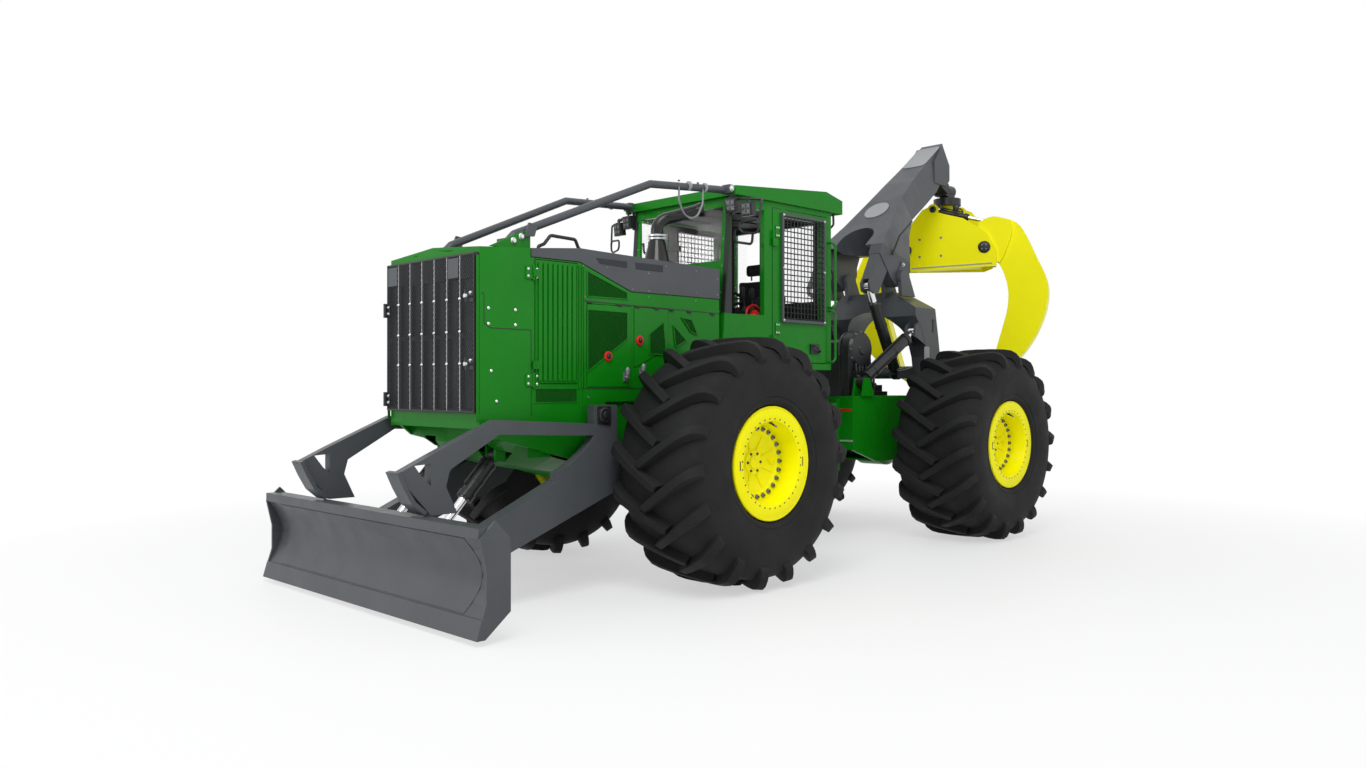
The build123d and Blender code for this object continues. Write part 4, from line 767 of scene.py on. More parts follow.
def make_nose_sides(sizes):
    size = sizes.bolt_size
    bolts, seams, straps, trims, vent, gable = shapes(6)
    for side in BOTH:
        out = X * side
        for y, z in (
            (-1.895, 2.130), (-1.662, 2.128), (-1.895, 2.019), (-1.662, 2.019), (-1.872, 1.683),
            (-1.825, 1.465),
        ):
            bolts.lathe(
                (side * NOSE_SIDE, y, z), out,
                [(-0.001, 0.013), (0.004, 0.0125), (0.008, 0.008), (0.009, 0.002)], 16,
            )
        groove(
            seams, [(-1.933, 2.234), (-1.932, 2.022), (-1.882, 1.990), (-1.523, 1.988), (-1.520, 1.36)],
            side, NOSE_SIDE,
        )
        groove(seams, [(-1.955, 2.234), (-1.933, 2.234)], side, NOSE_SIDE)
        for z in HINGE_HEIGHTS:
            straps.side_block(side, (NOSE_SIDE, -1.575, z - 0.048), (NOSE_SIDE + 0.008, -1.512, z + 0.048))
            straps.bar(
                (side * (NOSE_SIDE + 0.010), -1.505, z - 0.055),
                (side * (NOSE_SIDE + 0.010), -1.505, z + 0.055), 0.010,
            )
            for dz in (-0.026, 0.026):
                bolts.bolt((side * (NOSE_SIDE + 0.008), -1.552, z + dz), out, size * 0.55)
        # folded flanges that close the bodywork behind the louvre door
        for y in (-1.068, -1.040):
            trims.side_block(side, (NOSE_SIDE, y - 0.005, 1.56), (NOSE_SIDE + 0.009, y + 0.005, 2.50))
        trims.side_block(side, (NOSE_SIDE, -1.500, 1.553), (NOSE_SIDE + 0.005, -1.078, 1.560))
        trims.side_block(side, (NOSE_SIDE, -1.500, 1.450), (NOSE_SIDE + 0.005, -1.078, 1.457))
        trims.side_block(side, (NOSE_SIDE, -1.999, 1.32), (NOSE_SIDE + 0.004, -1.975, 2.50))
        # a darker green strip with bars over it: painted shade in place of the vent's dark slots
        vent.side_block(side, (NOSE_SIDE + 0.0005, -1.478, 1.452), (NOSE_SIDE + 0.002, -1.095, 1.552))
        vent.screen(
            out * (NOSE_SIDE + 0.0035), Y, Z,
            ((-1.474, 1.456), (-1.099, 1.456), (-1.099, 1.548), (-1.474, 1.548)), 0.014, (90,), 0.0022,
            lift=0.0,
        )
    gable.plate(
        [
            (-0.605, -1.972, 2.500), (0.605, -1.972, 2.500), (0.605, -1.972, 2.514), (0.0, -1.972, 2.586),
            (-0.605, -1.972, 2.514),
        ],
        -Y * 0.010,
    )
    vent.show("nose_vents", "front_chassis", "green_paint", finish="green_screen_shade", turn=20)
    gable.show("nose_gable", "front_chassis", "green_paint", bevel=0.001)
    bolts.show("nose_bolts", "front_chassis", "rod_chrome", finish="zinc_plate")
    seams.show("nose_seams", "front_chassis", "black_paint")
    straps.show("nose_hinge_straps", "front_chassis", "green_paint", bevel=0.002)
    trims.show("nose_flanges", "front_chassis", "green_paint", bevel=0.002)


# outlines (y, z) of the perforated screens in the engine bay's upper side
UPPER_SCREEN = ((-0.990, 2.464), (-0.990, 2.268), (-0.577, 2.268), (-0.577, 2.322))
LOWER_SCREENS = (
    ((-0.990, 2.168), (-0.577, 2.165), (-0.577, 1.952), (-0.990, 1.685)),
    ((-0.337, 2.001), (-0.178, 2.106), (-0.150, 1.835), (-0.337, 1.835)),
    ((-0.066, 2.084), (0.090, 1.958), (-0.040, 1.900)),
    ((0.030, 2.152), (0.150, 2.140), (0.224, 2.012), (0.146, 2.030)),
)
# places (y, z) of the service ports under the screens
SERVICE_PORTS = ((-0.602, 1.660), (-0.430, 1.690))


def make_screen(shape, shade_backs, rims, outline, side, face, angles):
    """One perforated screen: its backing and ribs in a darker green that paints the shade of the holes, and
    its raised edge.
    """
    lift = X * side * face
    points = [Vector((0, y, z)) + lift for y, z in outline]
    # darker green sheet under the wires: painted shade in place of the holes
    shade_backs.plate(points, X * side * 0.0015)
    shape.screen(X * side * (face + 0.003), Y, Z, outline, 0.017, angles, 0.0030, lift=0.0)
    middle = sum(points, Vector()) / len(points)
    for i, here in enumerate(points):
        there = points[(i + 1) % len(points)]
        inward = (middle - (here + there) / 2).normalized()
        along = (there - here).normalized()
        inward = (inward - along * inward.dot(along)).normalized() * 0.009
        rims.plate(
            [here - inward * 0.4, there - inward * 0.4, there + inward * 0.6, here + inward * 0.6],
            X * side * 0.0065,
        )


def make_side_panels(sizes):
    size = sizes.bolt_size
    wires, shade_backs, rims, seams, bolts, latches, rings, hearts = shapes(8)
    for side in BOTH:
        out = X * side
        make_screen(wires, shade_backs, rims, UPPER_SCREEN, side, NOSE_SIDE, (-28,))
        for outline in LOWER_SCREENS:
            make_screen(wires, shade_backs, rims, outline, side, PANEL_SIDE, (28, -28))
        groove(seams, [(-1.025, 2.232), (0.500, 2.208)], side, NOSE_SIDE, 0.008)
        groove(seams, [(-1.025, 1.556), (-0.300, 1.556)], side, NOSE_SIDE, 0.006)
        groove(seams, [(-1.025, 2.490), (-1.025, 1.556)], side, NOSE_SIDE, 0.006)
        for y in (-0.964, -0.662, -0.469, -0.257, -0.086, 0.126, 0.409):
            z = 2.223 - (y + 0.964) * 0.016
            latches.side_block(
                side, (NOSE_SIDE, y - 0.024, z - 0.010), (NOSE_SIDE + 0.010, y + 0.024, z + 0.007),
            )
            latches.bar(
                (side * NOSE_SIDE, y, z - 0.002), (side * (NOSE_SIDE + 0.016), y, z - 0.002), 0.006, 8,
            )
        for y, z in ((-0.781, 1.809), (-0.445, 1.943)):
            seat = Vector((side * PANEL_SIDE, y, z))
            rings.lathe(
                seat, out,
                [(-0.001, 0.040), (0.008, 0.040), (0.013, 0.035), (0.013, 0.021), (0.006, 0.018)], 28,
                closed=True,
            )
            hearts.lathe(seat, out, [(-0.001, 0.019), (0.018, 0.018), (0.024, 0.012), (0.024, 0.002)], 18)
            hearts.side_block(
                side, (PANEL_SIDE + 0.018, y - 0.004, z - 0.017),
                (PANEL_SIDE + 0.030, y + 0.004, z + 0.017),
            )
        for y, z in ((-1.010, 2.262), (-0.341, 2.300), (0.206, 2.300)):
            bolts.bolt((side * NOSE_SIDE, y, z), out, size * 0.4)
        bolts.bar((side * NOSE_SIDE, -0.980, 1.491), (side * (NOSE_SIDE + 0.003), -0.980, 1.491), 0.009, 10)
        for y, z in SERVICE_PORTS:
            bolts.side_block(
                side, (PANEL_SIDE, y - 0.020, z - 0.045), (PANEL_SIDE + 0.014, y + 0.020, z + 0.030),
            )
            bolts.lathe(
                (side * (PANEL_SIDE + 0.030), y, z + 0.030), Z,
                [(-0.03, 0.016), (0.0, 0.020), (0.018, 0.020), (0.034, 0.008), (0.040, 0.002)], 16,
            )
            bolts.lathe(
                (side * (PANEL_SIDE + 0.012), y, z - 0.012), out,
                [(0, 0.018), (0.020, 0.018), (0.024, 0.012), (0.030, 0.010)], 14,
            )
            bolts.bolt((side * (PANEL_SIDE + 0.014), y, z - 0.034), out, 0.012)
    wires.show("screen_wires", "front_chassis", "green_paint", finish="green_screen_shade", turn=20)
    shade_backs.show("screen_shade_backs", "front_chassis", "green_paint", finish="green_screen_shade")
    rims.show("screen_rims", "front_chassis", "green_paint", bevel=0.0015)
    seams.show("panel_seams", "front_chassis", "black_paint")
    latches.show("panel_latches", "front_chassis", "black_paint", bevel=0.002)
    rings.show("drain_rings", "front_chassis", "black_paint", finish="signal_red", bevel=0.001)
    hearts.show("drain_knobs", "front_chassis", "black_paint", bevel=0.001)
    bolts.show("panel_bolts", "front_chassis", "rod_chrome", finish="bolt_steel")


def make_bonnet(sizes):
    size = sizes.bolt_size
    bolts, vents, slots, rails = shapes(4)
    for side in BOTH:
        out = X * side
        for y, z in (
            (-1.030, 2.500), (-0.792, 2.507), (-0.523, 2.352), (-0.346, 2.494), (-0.149, 2.566),
            (-0.142, 2.350), (-0.341, 2.350), (0.206, 2.557), (0.206, 2.369), (0.470, 2.505),
            (0.470, 2.369),
        ):
            bolts.bolt((side * BONNET_SIDE, y, z), out, size * 0.38)
        for outline in (((-0.904, 2.572), (-0.581, 2.572), (-0.581, 2.520), (-0.864, 2.530)),
                        ((-0.495, 2.572), (-0.183, 2.572), (-0.183, 2.516), (-0.484, 2.518))):
            vents.plate([Vector((side * BONNET_SIDE, y, z)) for y, z in outline], out * 0.0012)
            slots.screen(out * (BONNET_SIDE + 0.002), Y, Z, outline, 0.011, (90,), 0.0026)
    # grab rail over the front of the bonnet
    x = 0.52
    rail = (
        (-1.385, 2.600), (-1.385, 2.626), (-1.330, 2.650), (-1.270, 2.720), (-1.030, 2.712),
        (-1.000, 2.650), (-0.960, 2.625), (-0.960, 2.590),
    )
    rails.tube([(x, y, z) for y, z in rail], 0.0135, 0.03)
    for y in (-1.385, -0.960):
        rails.lathe((x, y, 2.590), Z, [(0, 0.028), (0.012, 0.028), (0.016, 0.018)], 16)
        bolts.bolt((x + 0.024, y, 2.600), Z, size * 0.5)
    vents.show("bonnet_vent_backs", "front_chassis", "dark_grey_paint", finish="vent_shade")
    slots.show("bonnet_vent_bars", "front_chassis", "dark_grey_paint", turn=20)
    rails.show("bonnet_rail", "front_chassis", "black_paint")
    bolts.show("bonnet_bolts", "front_chassis", "rod_chrome", finish="bolt_steel")


def make_guard():
    feet, chrome, collars, bands = shapes(4)
    for side in BOTH:
        x = side * 0.470
        feet.plate(
            [
                (x, -1.80, 2.594), (x, -1.430, 2.590), (x, -1.430, 2.700), (x, -1.472, 2.738),
                (x, -1.505, 2.732),
            ],
            X * side * 0.014,
        )
        for y, z in ((-1.587, 2.652), (-1.515, 2.690)):
            chrome.lathe(
                (x + side * 0.014, y, z), X * side,
                [(0, 0.026), (0.005, 0.026), (0.009, 0.019), (0.016, 0.016), (0.018, 0.004)], 20,
            )
        x = side * 0.486
        collars.plate(
            [(x, -1.500, 2.690), (x, -1.405, 2.700), (x, -1.375, 2.790), (x, -1.455, 2.800)],
            X * side * 0.018,
        )
        along = Vector((40 * side, 500, 30)).normalized()
        for seat in mirrored(side, [(0.603, 0.135, 3.2745), (0.6115, 0.320, 3.2830)]):
            bands.lathe(seat, along, [(-0.008, 0.034), (-0.007, 0.041), (0.007, 0.041), (0.008, 0.034)], 24)
        chrome.lathe(
            (side * 0.690, 0.580, 3.300), X * side,
            [(-0.002, 0.030), (0.006, 0.030), (0.010, 0.022), (0.018, 0.018), (0.019, 0.003)], 20,
        )
        collars.side_block(side, (0.600, 0.548, 3.262), (0.690, 0.599, 3.336))
        for y in (0.02, 0.24):
            z = 3.300 + y * 0.04
            collars.bolt((side * (0.600 + y * 0.04), y, z), Z, 0.016)
    feet.show("guard_feet", "front_chassis", "green_paint", bevel=0.003)
    chrome.show("guard_bolts", "front_chassis", "rod_chrome", finish="zinc_plate")
    collars.show("guard_collars", "front_chassis", "dark_grey_paint", bevel=0.002)
    bands.show("guard_bands", "front_chassis", "dark_grey_paint", finish="pale_pad")


def make_exhaust():
    band, loop = shapes(2)
    centre = Vector((0.300, 0.050, 0.0))
    for z in (2.845, 2.872):
        band.lathe(
            centre + Z * z, Z, [(-0.008, 0.0715), (-0.008, 0.0755), (0.008, 0.0755), (0.008, 0.0715)], 28,
            closed=True,
        )
        band.bar(centre + Vector((0.070, -0.030, z)), centre + Vector((0.095, 0.030, z)), 0.007, 8)
    loop.tube([(0.602, 0.02, 3.262), (0.600, 0.02, 3.140), (0.602, 0.075, 3.030), (0.606, 0.155, 2.995),
               (0.612, 0.235, 3.030), (0.620, 0.290, 3.140), (0.622, 0.290, 3.262)], 0.0085, 0.10)
    band.show("exhaust_clamps", "front_chassis", "rod_chrome", finish="zinc_plate")
    loop.show("exhaust_loop", "front_chassis", "dark_grey_paint", finish="bolt_steel")


# ---------------------------------------------------------------- cab


LENS_HALF = 0.047
POST_FOOT_Y, POST_FOOT_Z, POST_LEAN = 0.525, 1.73, 0.079


def post_y(z):
    """How far back the cab's leaning front is at a height."""
    return POST_FOOT_Y + (z - POST_FOOT_Z) * POST_LEAN


def make_cab_outside(sizes):
    size = sizes.bolt_size
    rails, black, lamps, lenses, chrome, trims, cells = shapes(7)
    for side in BOTH:
        # tall grab rails at the rear corner, and the rail under the roof
        x = side * 0.722
        for low, high in ((2.330, 2.955), (1.805, 2.300)):
            rails.tube(
                [
                    (x - side * 0.022, 1.948, high), (x + side * 0.030, 1.948, high),
                    (x + side * 0.034, 1.985, high - 0.03), (x + side * 0.034, 1.985, low + 0.03),
                    (x + side * 0.030, 1.948, low), (x - side * 0.022, 1.948, low),
                ],
                0.012, 0.03,
            )
        black.tube(
            mirrored(
                side,
                [(0.66, 2.075, 3.300), (0.66, 2.085, 3.150), (0.66, 2.02, 3.105), (0.66, 1.985, 3.100)],
            ),
            0.011, 0.04,
        )
        # work lamps on a bracket below the roof's front corner
        black.side_block(side, (0.600, 0.628, 3.085), (0.655, 0.660, 3.250))
        black.tube(
            mirrored(side, [(0.640, 0.64, 3.205), (0.780, 0.60, 3.205), (0.955, 0.70, 3.190)]), 0.011, 0.04,
        )
        for px, pz, py in ((0.682, 3.155, 0.575), (0.842, 3.108, 0.600)):
            tilt = Vector((side * 0.10, -1.0, -0.10)).normalized()
            u = Z.cross(tilt).normalized()
            v = tilt.cross(u)
            seat = Vector((side * px, py, pz))
            for grow, depth in ((0.062, -0.055), (0.054, 0.004)):
                lamps.plate([seat + u * a * grow + v * b * grow for a, b in SQUARE], tilt * depth)
            half = LENS_HALF
            lens = [seat + tilt * 0.0042 + u * a * half + v * b * half for a, b in SQUARE]
            lenses.plate(lens, tilt * 0.003)
            for a in (-0.5, 0.5):
                for b in (-0.5, 0.5):
                    cells.lathe(seat + tilt * 0.0070 + u * a * half + v * b * half, tilt,
                                [(0, 0.014), (0.002, 0.013), (0.002, 0.008), (0.0005, 0.003)], 14)
            lamps.screen(
                seat + tilt * 0.0085, u, v, [(a * half, b * half) for a, b in SQUARE], 0.0235, (0, 90),
                0.0022, lift=0.0,
            )
            lamps.bar(seat - tilt * 0.03 + v * 0.055, seat - tilt * 0.03 + v * 0.105, 0.010, 8)
            lamps.block(
                (seat.x - 0.018, seat.y + 0.012, seat.z + 0.080),
                (seat.x + 0.018, seat.y + 0.050, seat.z + 0.098),
            )
        black.tube(
            mirrored(
                side,
                [
                    (0.790, 0.575, 2.995), (0.790, 0.575, 2.935), (0.815, 0.585, 2.905),
                    (0.930, 0.620, 2.890), (0.960, 0.625, 2.915), (0.965, 0.625, 2.985),
                    (0.940, 0.620, 3.005),
                ],
            ),
            0.0095, 0.03, closed=True,
        )
        black.tube(
            mirrored(side, [(0.962, 0.625, 2.960), (0.975, 0.645, 3.16), (0.950, 0.69, 3.19)]), 0.0095,
            0.03,
        )
        # dark plates over the corner posts beside the corner windows: painted shade on the posts' faces
        low, high = 2.222, 3.163
        near, far = post_y(low), post_y(high)
        black.plate(
            mirrored(
                side,
                [
                    (0.574, near - 0.001, low), (0.621, near - 0.001, low), (0.621, far - 0.001, high),
                    (0.574, far - 0.001, high),
                ],
            ),
            -Y * 0.003,
        )
        black.plate(
            mirrored(
                side,
                [(0.6215, near, low), (0.6345, 0.640, low), (0.6345, 0.642, high), (0.630, 0.640, high)],
            ),
            X * side * 0.003,
        )
        # grab handle inside the corner window
        black.tube(
            mirrored(
                side,
                [(0.600, 0.72, 2.960), (0.590, 0.72, 2.860), (0.590, 0.960, 2.860), (0.600, 0.960, 2.960)],
            ),
            0.012, 0.04,
        )
        # bolts along the posts round the windows
        for z in (3.120, 2.880, 2.640, 2.400, 2.230):
            chrome.bolt((side * 0.558, post_y(z) - 0.001, z), -Y + Z * 0.08, size * 0.4)
        for x, z in ((0.30, 3.215), (0.30, 2.645)):
            chrome.bolt((side * x, post_y(z), z), -Y + Z * 0.08, size * 0.4)
        # folded lip along the roof's lower edge
        trims.side_block(side, (0.722, 0.62, 3.252), (0.727, 1.93, 3.262))
    around(rails, "y", (1.9905, 2.010), (-0.560, 0.560, 2.365, 3.185), (-0.528, 0.528, 2.395, 3.155))
    rails.show("cab_grab_rails", "front_chassis", "green_paint")
    black.show("cab_lamp_brackets", "front_chassis", "black_paint", bevel=0.001)
    lamps.show("work_lamps", "front_chassis", "black_paint", bevel=0.002)
    lenses.show("work_lamp_lenses", "front_chassis", "window_glass", finish="lamp_lens")
    cells.show("work_lamp_cells", "front_chassis", "rod_chrome", finish="bolt_steel")
    chrome.show("cab_bolts", "front_chassis", "rod_chrome", finish="bolt_steel")
    trims.show("roof_lip", "front_chassis", "green_paint", bevel=0.001)


def around(shape, axis, depth, outer, opening):
    """Four flat strips round an opening, square to x or y; outer and opening are low, high, bottom, top."""
    a0, a1, z0, z1 = outer
    b0, b1, w0, w1 = opening
    for lo, hi, bottom, top in ((a0, b0, z0, z1), (b1, a1, z0, z1), (b0, b1, z0, w0), (b0, b1, w1, z1)):
        if axis == "x":
            shape.block((depth[0], lo, bottom), (depth[1], hi, top))
        else:
            shape.block((lo, depth[0], bottom), (hi, depth[1], top))


DOOR_WINDOW = ((1.246, 2.180), (1.854, 2.180), (1.854, 3.146), (1.246, 3.146))


def make_cab_doors(sizes):
    for name, side in (("left", 1), ("right", -1)):
        out = X * side
        wires, frames, hinges, bolts, handle, liner = shapes(6)
        lift = out * (DOOR_SIDE + 0.016)
        wires.screen(lift, Y, Z, DOOR_WINDOW, sizes.guard_pitch, (0, 90), 0.0056, lift=0.006)
        (y0, z0), (y1, _), (_, z1), _ = DOOR_WINDOW
        for a, b, c, d in (
            (y0 - 0.020, y0 + 0.008, z0 - 0.020, z1 + 0.020),
            (y1 - 0.008, y1 + 0.020, z0 - 0.020, z1 + 0.020), (y0, y1, z0 - 0.020, z0 + 0.008),
            (y0, y1, z1 - 0.008, z1 + 0.020),
        ):
            frames.side_block(side, (DOOR_SIDE + 0.0005, a, c), (DOOR_SIDE + 0.026, b, d))
        for y, z in ((y0, z0), (y1, z0), (y0, z1), (y1, z1), (y0, 2.66), (y1, 2.66)):
            bolts.bolt((side * (DOOR_SIDE + 0.026), y, z), out, 0.014)
        for z in (2.985, 2.100, 1.935):
            hinges.side_block(
                side, (DOOR_SIDE + 0.0005, 1.148, z - 0.055), (DOOR_SIDE + 0.008, 1.205, z + 0.055),
            )
            for dz in (-0.036, 0.036):
                for y in (1.164, 1.192):
                    bolts.bolt((side * (DOOR_SIDE + 0.008), y, z + dz), out, 0.011)
        handle.side_block(side, (DOOR_SIDE, 1.655, 1.880), (DOOR_SIDE + 0.014, 1.790, 1.975))
        handle.tube(mirrored(side, [(DOOR_SIDE + 0.012, 1.675, 1.960), (DOOR_SIDE + 0.050, 1.680, 1.955),
                     (DOOR_SIDE + 0.052, 1.760, 1.905), (DOOR_SIDE + 0.012, 1.770, 1.900)]), 0.009, 0.02)
        body = "cab_door_" + name
        around(
            liner, "x", (side * 0.6605, side * 0.6545), (1.122, 1.913, 1.800, 3.188),
            (1.262, 1.838, 2.196, 3.130),
        )
        liner.show("door_liner_" + name, body, "console_plastic", bevel=0.001)
        wires.show("door_mesh_" + name, body, "black_paint", turn=20)
        frames.show("door_mesh_frame_" + name, body, "dark_grey_paint", bevel=0.003)
        hinges.show("door_hinge_straps_" + name, body, "green_paint", bevel=0.002)
        bolts.show("door_bolts_" + name, body, "rod_chrome", finish="zinc_plate")
        handle.show("door_handle_" + name, body, "black_paint", bevel=0.002)


def make_louvre_doors(sizes):
    for name, side in (("left", 1), ("right", -1)):
        out = X * side
        bolts, bead, shade = shapes(3)
        for z in HINGE_HEIGHTS:
            for dz in (-0.03, 0.03):
                bolts.bolt((side * 0.6175, -1.470, z + dz), out, sizes.bolt_size * 0.6)
        for y in (-1.483, -1.092):
            bead.side_block(side, (0.617, y - 0.004, 1.60), (0.622, y + 0.004, 2.505))
        shade.side_block(side, (0.6165, -1.478, 1.616), (0.6185, -1.098, 2.488))
        bolts.show("louvre_bolts_" + name, "louvre_door_" + name, "rod_chrome", finish="zinc_plate")
        shade.show("louvre_shade_" + name, "louvre_door_" + name, "green_paint")
        bead.show("louvre_beads_" + name, "louvre_door_" + name, "green_paint", bevel=0.001)


PAD_SLACK = 0.03
CLOTH_FRAMES = 20


def cushion(name, low, high, cap, crown):
    """A stuffed seat pad: a slightly small block with rounded edges that a cloth simulation swells."""
    shape = bmesh.new()
    bmesh.ops.create_cube(shape, size=1.0)
    middle = [(a + b) / 2 for a, b in zip(low, high)]
    extent = [b - a for a, b in zip(low, high)]
    for vert in shape.verts:
        vert.co = Vector([c * (reach - PAD_SLACK) for c, reach in zip(vert.co, extent)])
    bmesh.ops.bevel(shape, geom=shape.edges[:], offset=0.028, segments=3, profile=0.6, affect="EDGES")
    data = bpy.data.meshes.new(name)
    shape.to_mesh(data)
    shape.free()
    piece = bpy.data.objects.new(name, data)
    bpy.context.scene.collection.objects.link(piece)
    remesh = piece.modifiers.new("voxels", "REMESH")
    remesh.mode = "VOXEL"
    remesh.voxel_size = 0.013
    apply_modifiers(piece)
    rest = [v.co.copy() for v in piece.data.vertices]
    cloth = piece.modifiers.new("stuffing", "CLOTH")
    cloth.settings.use_pressure = True
    cloth.settings.uniform_pressure_force = 4.0
    cloth.settings.effector_weights.gravity = 0.0
    scene = bpy.context.scene
    scene.frame_start, scene.frame_end = 1, CLOTH_FRAMES
    for number in range(1, CLOTH_FRAMES + 1):
        scene.frame_set(number)
    apply_modifiers(piece)
    scene.frame_set(1)
    for vert, start in zip(piece.data.vertices, rest):
        move = vert.co - start
        if move.length > cap:
            vert.co = start + move.normalized() * cap
    # sewn channels across the pad, shallow towards its edges
    axis, deep = crown
    for vert in piece.data.vertices:
        reach = [abs(vert.co[i]) / (extent[i] / 2) for i in range(3)]
        wave = math.cos(vert.co[axis] / extent[axis] * 2 * math.pi * 2.0)
        groove_depth = 0.010 * max(0.0, -wave) ** 6 * max(0.0, 1 - reach[0] ** 4)
        if vert.co[deep[0]] * deep[1] > 0:
            vert.co[deep[0]] -= deep[1] * groove_depth
    for vert in piece.data.vertices:
        vert.co += Vector((middle[0], middle[1] + AXLE_Y, middle[2]))
    piece.data.polygons.foreach_set("use_smooth", [True] * len(piece.data.polygons))
    smooth = piece.modifiers.new("smooth", "SUBSURF")
    smooth.levels = smooth.render_levels = 1
    piece.data.materials.append(bpy.data.materials["seat_fabric"])
    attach(piece, "front_chassis")


def apply_modifiers(piece):
    """Turns what a piece's modifiers show into its mesh."""
    bpy.context.view_layer.update()
    shown = piece.evaluated_get(bpy.context.evaluated_depsgraph_get())
    data = bpy.data.meshes.new_from_object(shown)
    piece.modifiers.clear()
    piece.data = data


def make_seat():
    cushion("seat_cushion", (-0.248, 1.182, 2.082), (0.248, 1.688, 2.200), 0.012, (0, (2, 1)))
    cushion("seat_backrest", (-0.238, 1.642, 2.202), (0.238, 1.758, 2.640), 0.012, (2, (1, -1)))
    cushion("seat_headrest", (-0.140, 1.655, 2.655), (0.140, 1.745, 2.798), 0.010, (0, (1, -1)))
    frame_work, belt = shapes(2)
    frame_work.lathe((0, 1.425, 1.735), Z, [(0, 0.165), (0.020, 0.165), (0.030, 0.120), (0.045, 0.112)], 32)
    for k in range(6):
        z = 1.785 + k * 0.042
        frame_work.lathe((0, 1.425, z), Z, [(0, 0.110), (0.021, 0.132), (0.042, 0.110)], 32)
    frame_work.block((-0.200, 1.230, 2.040), (0.200, 1.640, 2.078))
    for side in BOTH:
        frame_work.tube(
            mirrored(side, [(0.235, 1.600, 2.060), (0.235, 1.700, 2.075), (0.235, 1.715, 2.300)]), 0.014,
            0.05,
        )
        frame_work.plate(
            mirrored(
                side, [(0.252, 1.66, 2.30), (0.252, 1.36, 2.33), (0.252, 1.36, 2.36), (0.252, 1.66, 2.37)],
            ),
            X * side * 0.040,
        )
        frame_work.bar((side * 0.07, 1.705, 2.630), (side * 0.07, 1.705, 2.680), 0.008)
    belt.tube([(-0.258, 1.60, 2.12), (-0.262, 1.62, 2.20), (-0.262, 1.60, 2.27)], 0.016, 0.04, 8)
    piece = frame_work.show(
        "seat_frame", "front_chassis", "seat_fabric", finish="console_plastic", bevel=0.004,
    )
    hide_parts("operator_seat")
    belt.show("seat_belt_stalk", "front_chassis", "seat_fabric", finish="signal_red", bevel=0.001)


STEERING_WHEEL, STEERING_SLOPE, STEERING_RADIUS = (0.160, 1.105, 2.420), Vector((0, 0.92, -0.38)), 0.150
CONSOLE_SIDE = ((1.300, 2.110), (1.620, 2.110), (1.660, 2.430), (1.500, 2.500), (1.330, 2.400))


def on_steering_wheel(angle):
    """A point of the steering wheel's rim."""
    out = X * math.cos(angle) + STEERING_SLOPE * math.sin(angle)
    return Vector(STEERING_WHEEL) + out * STEERING_RADIUS


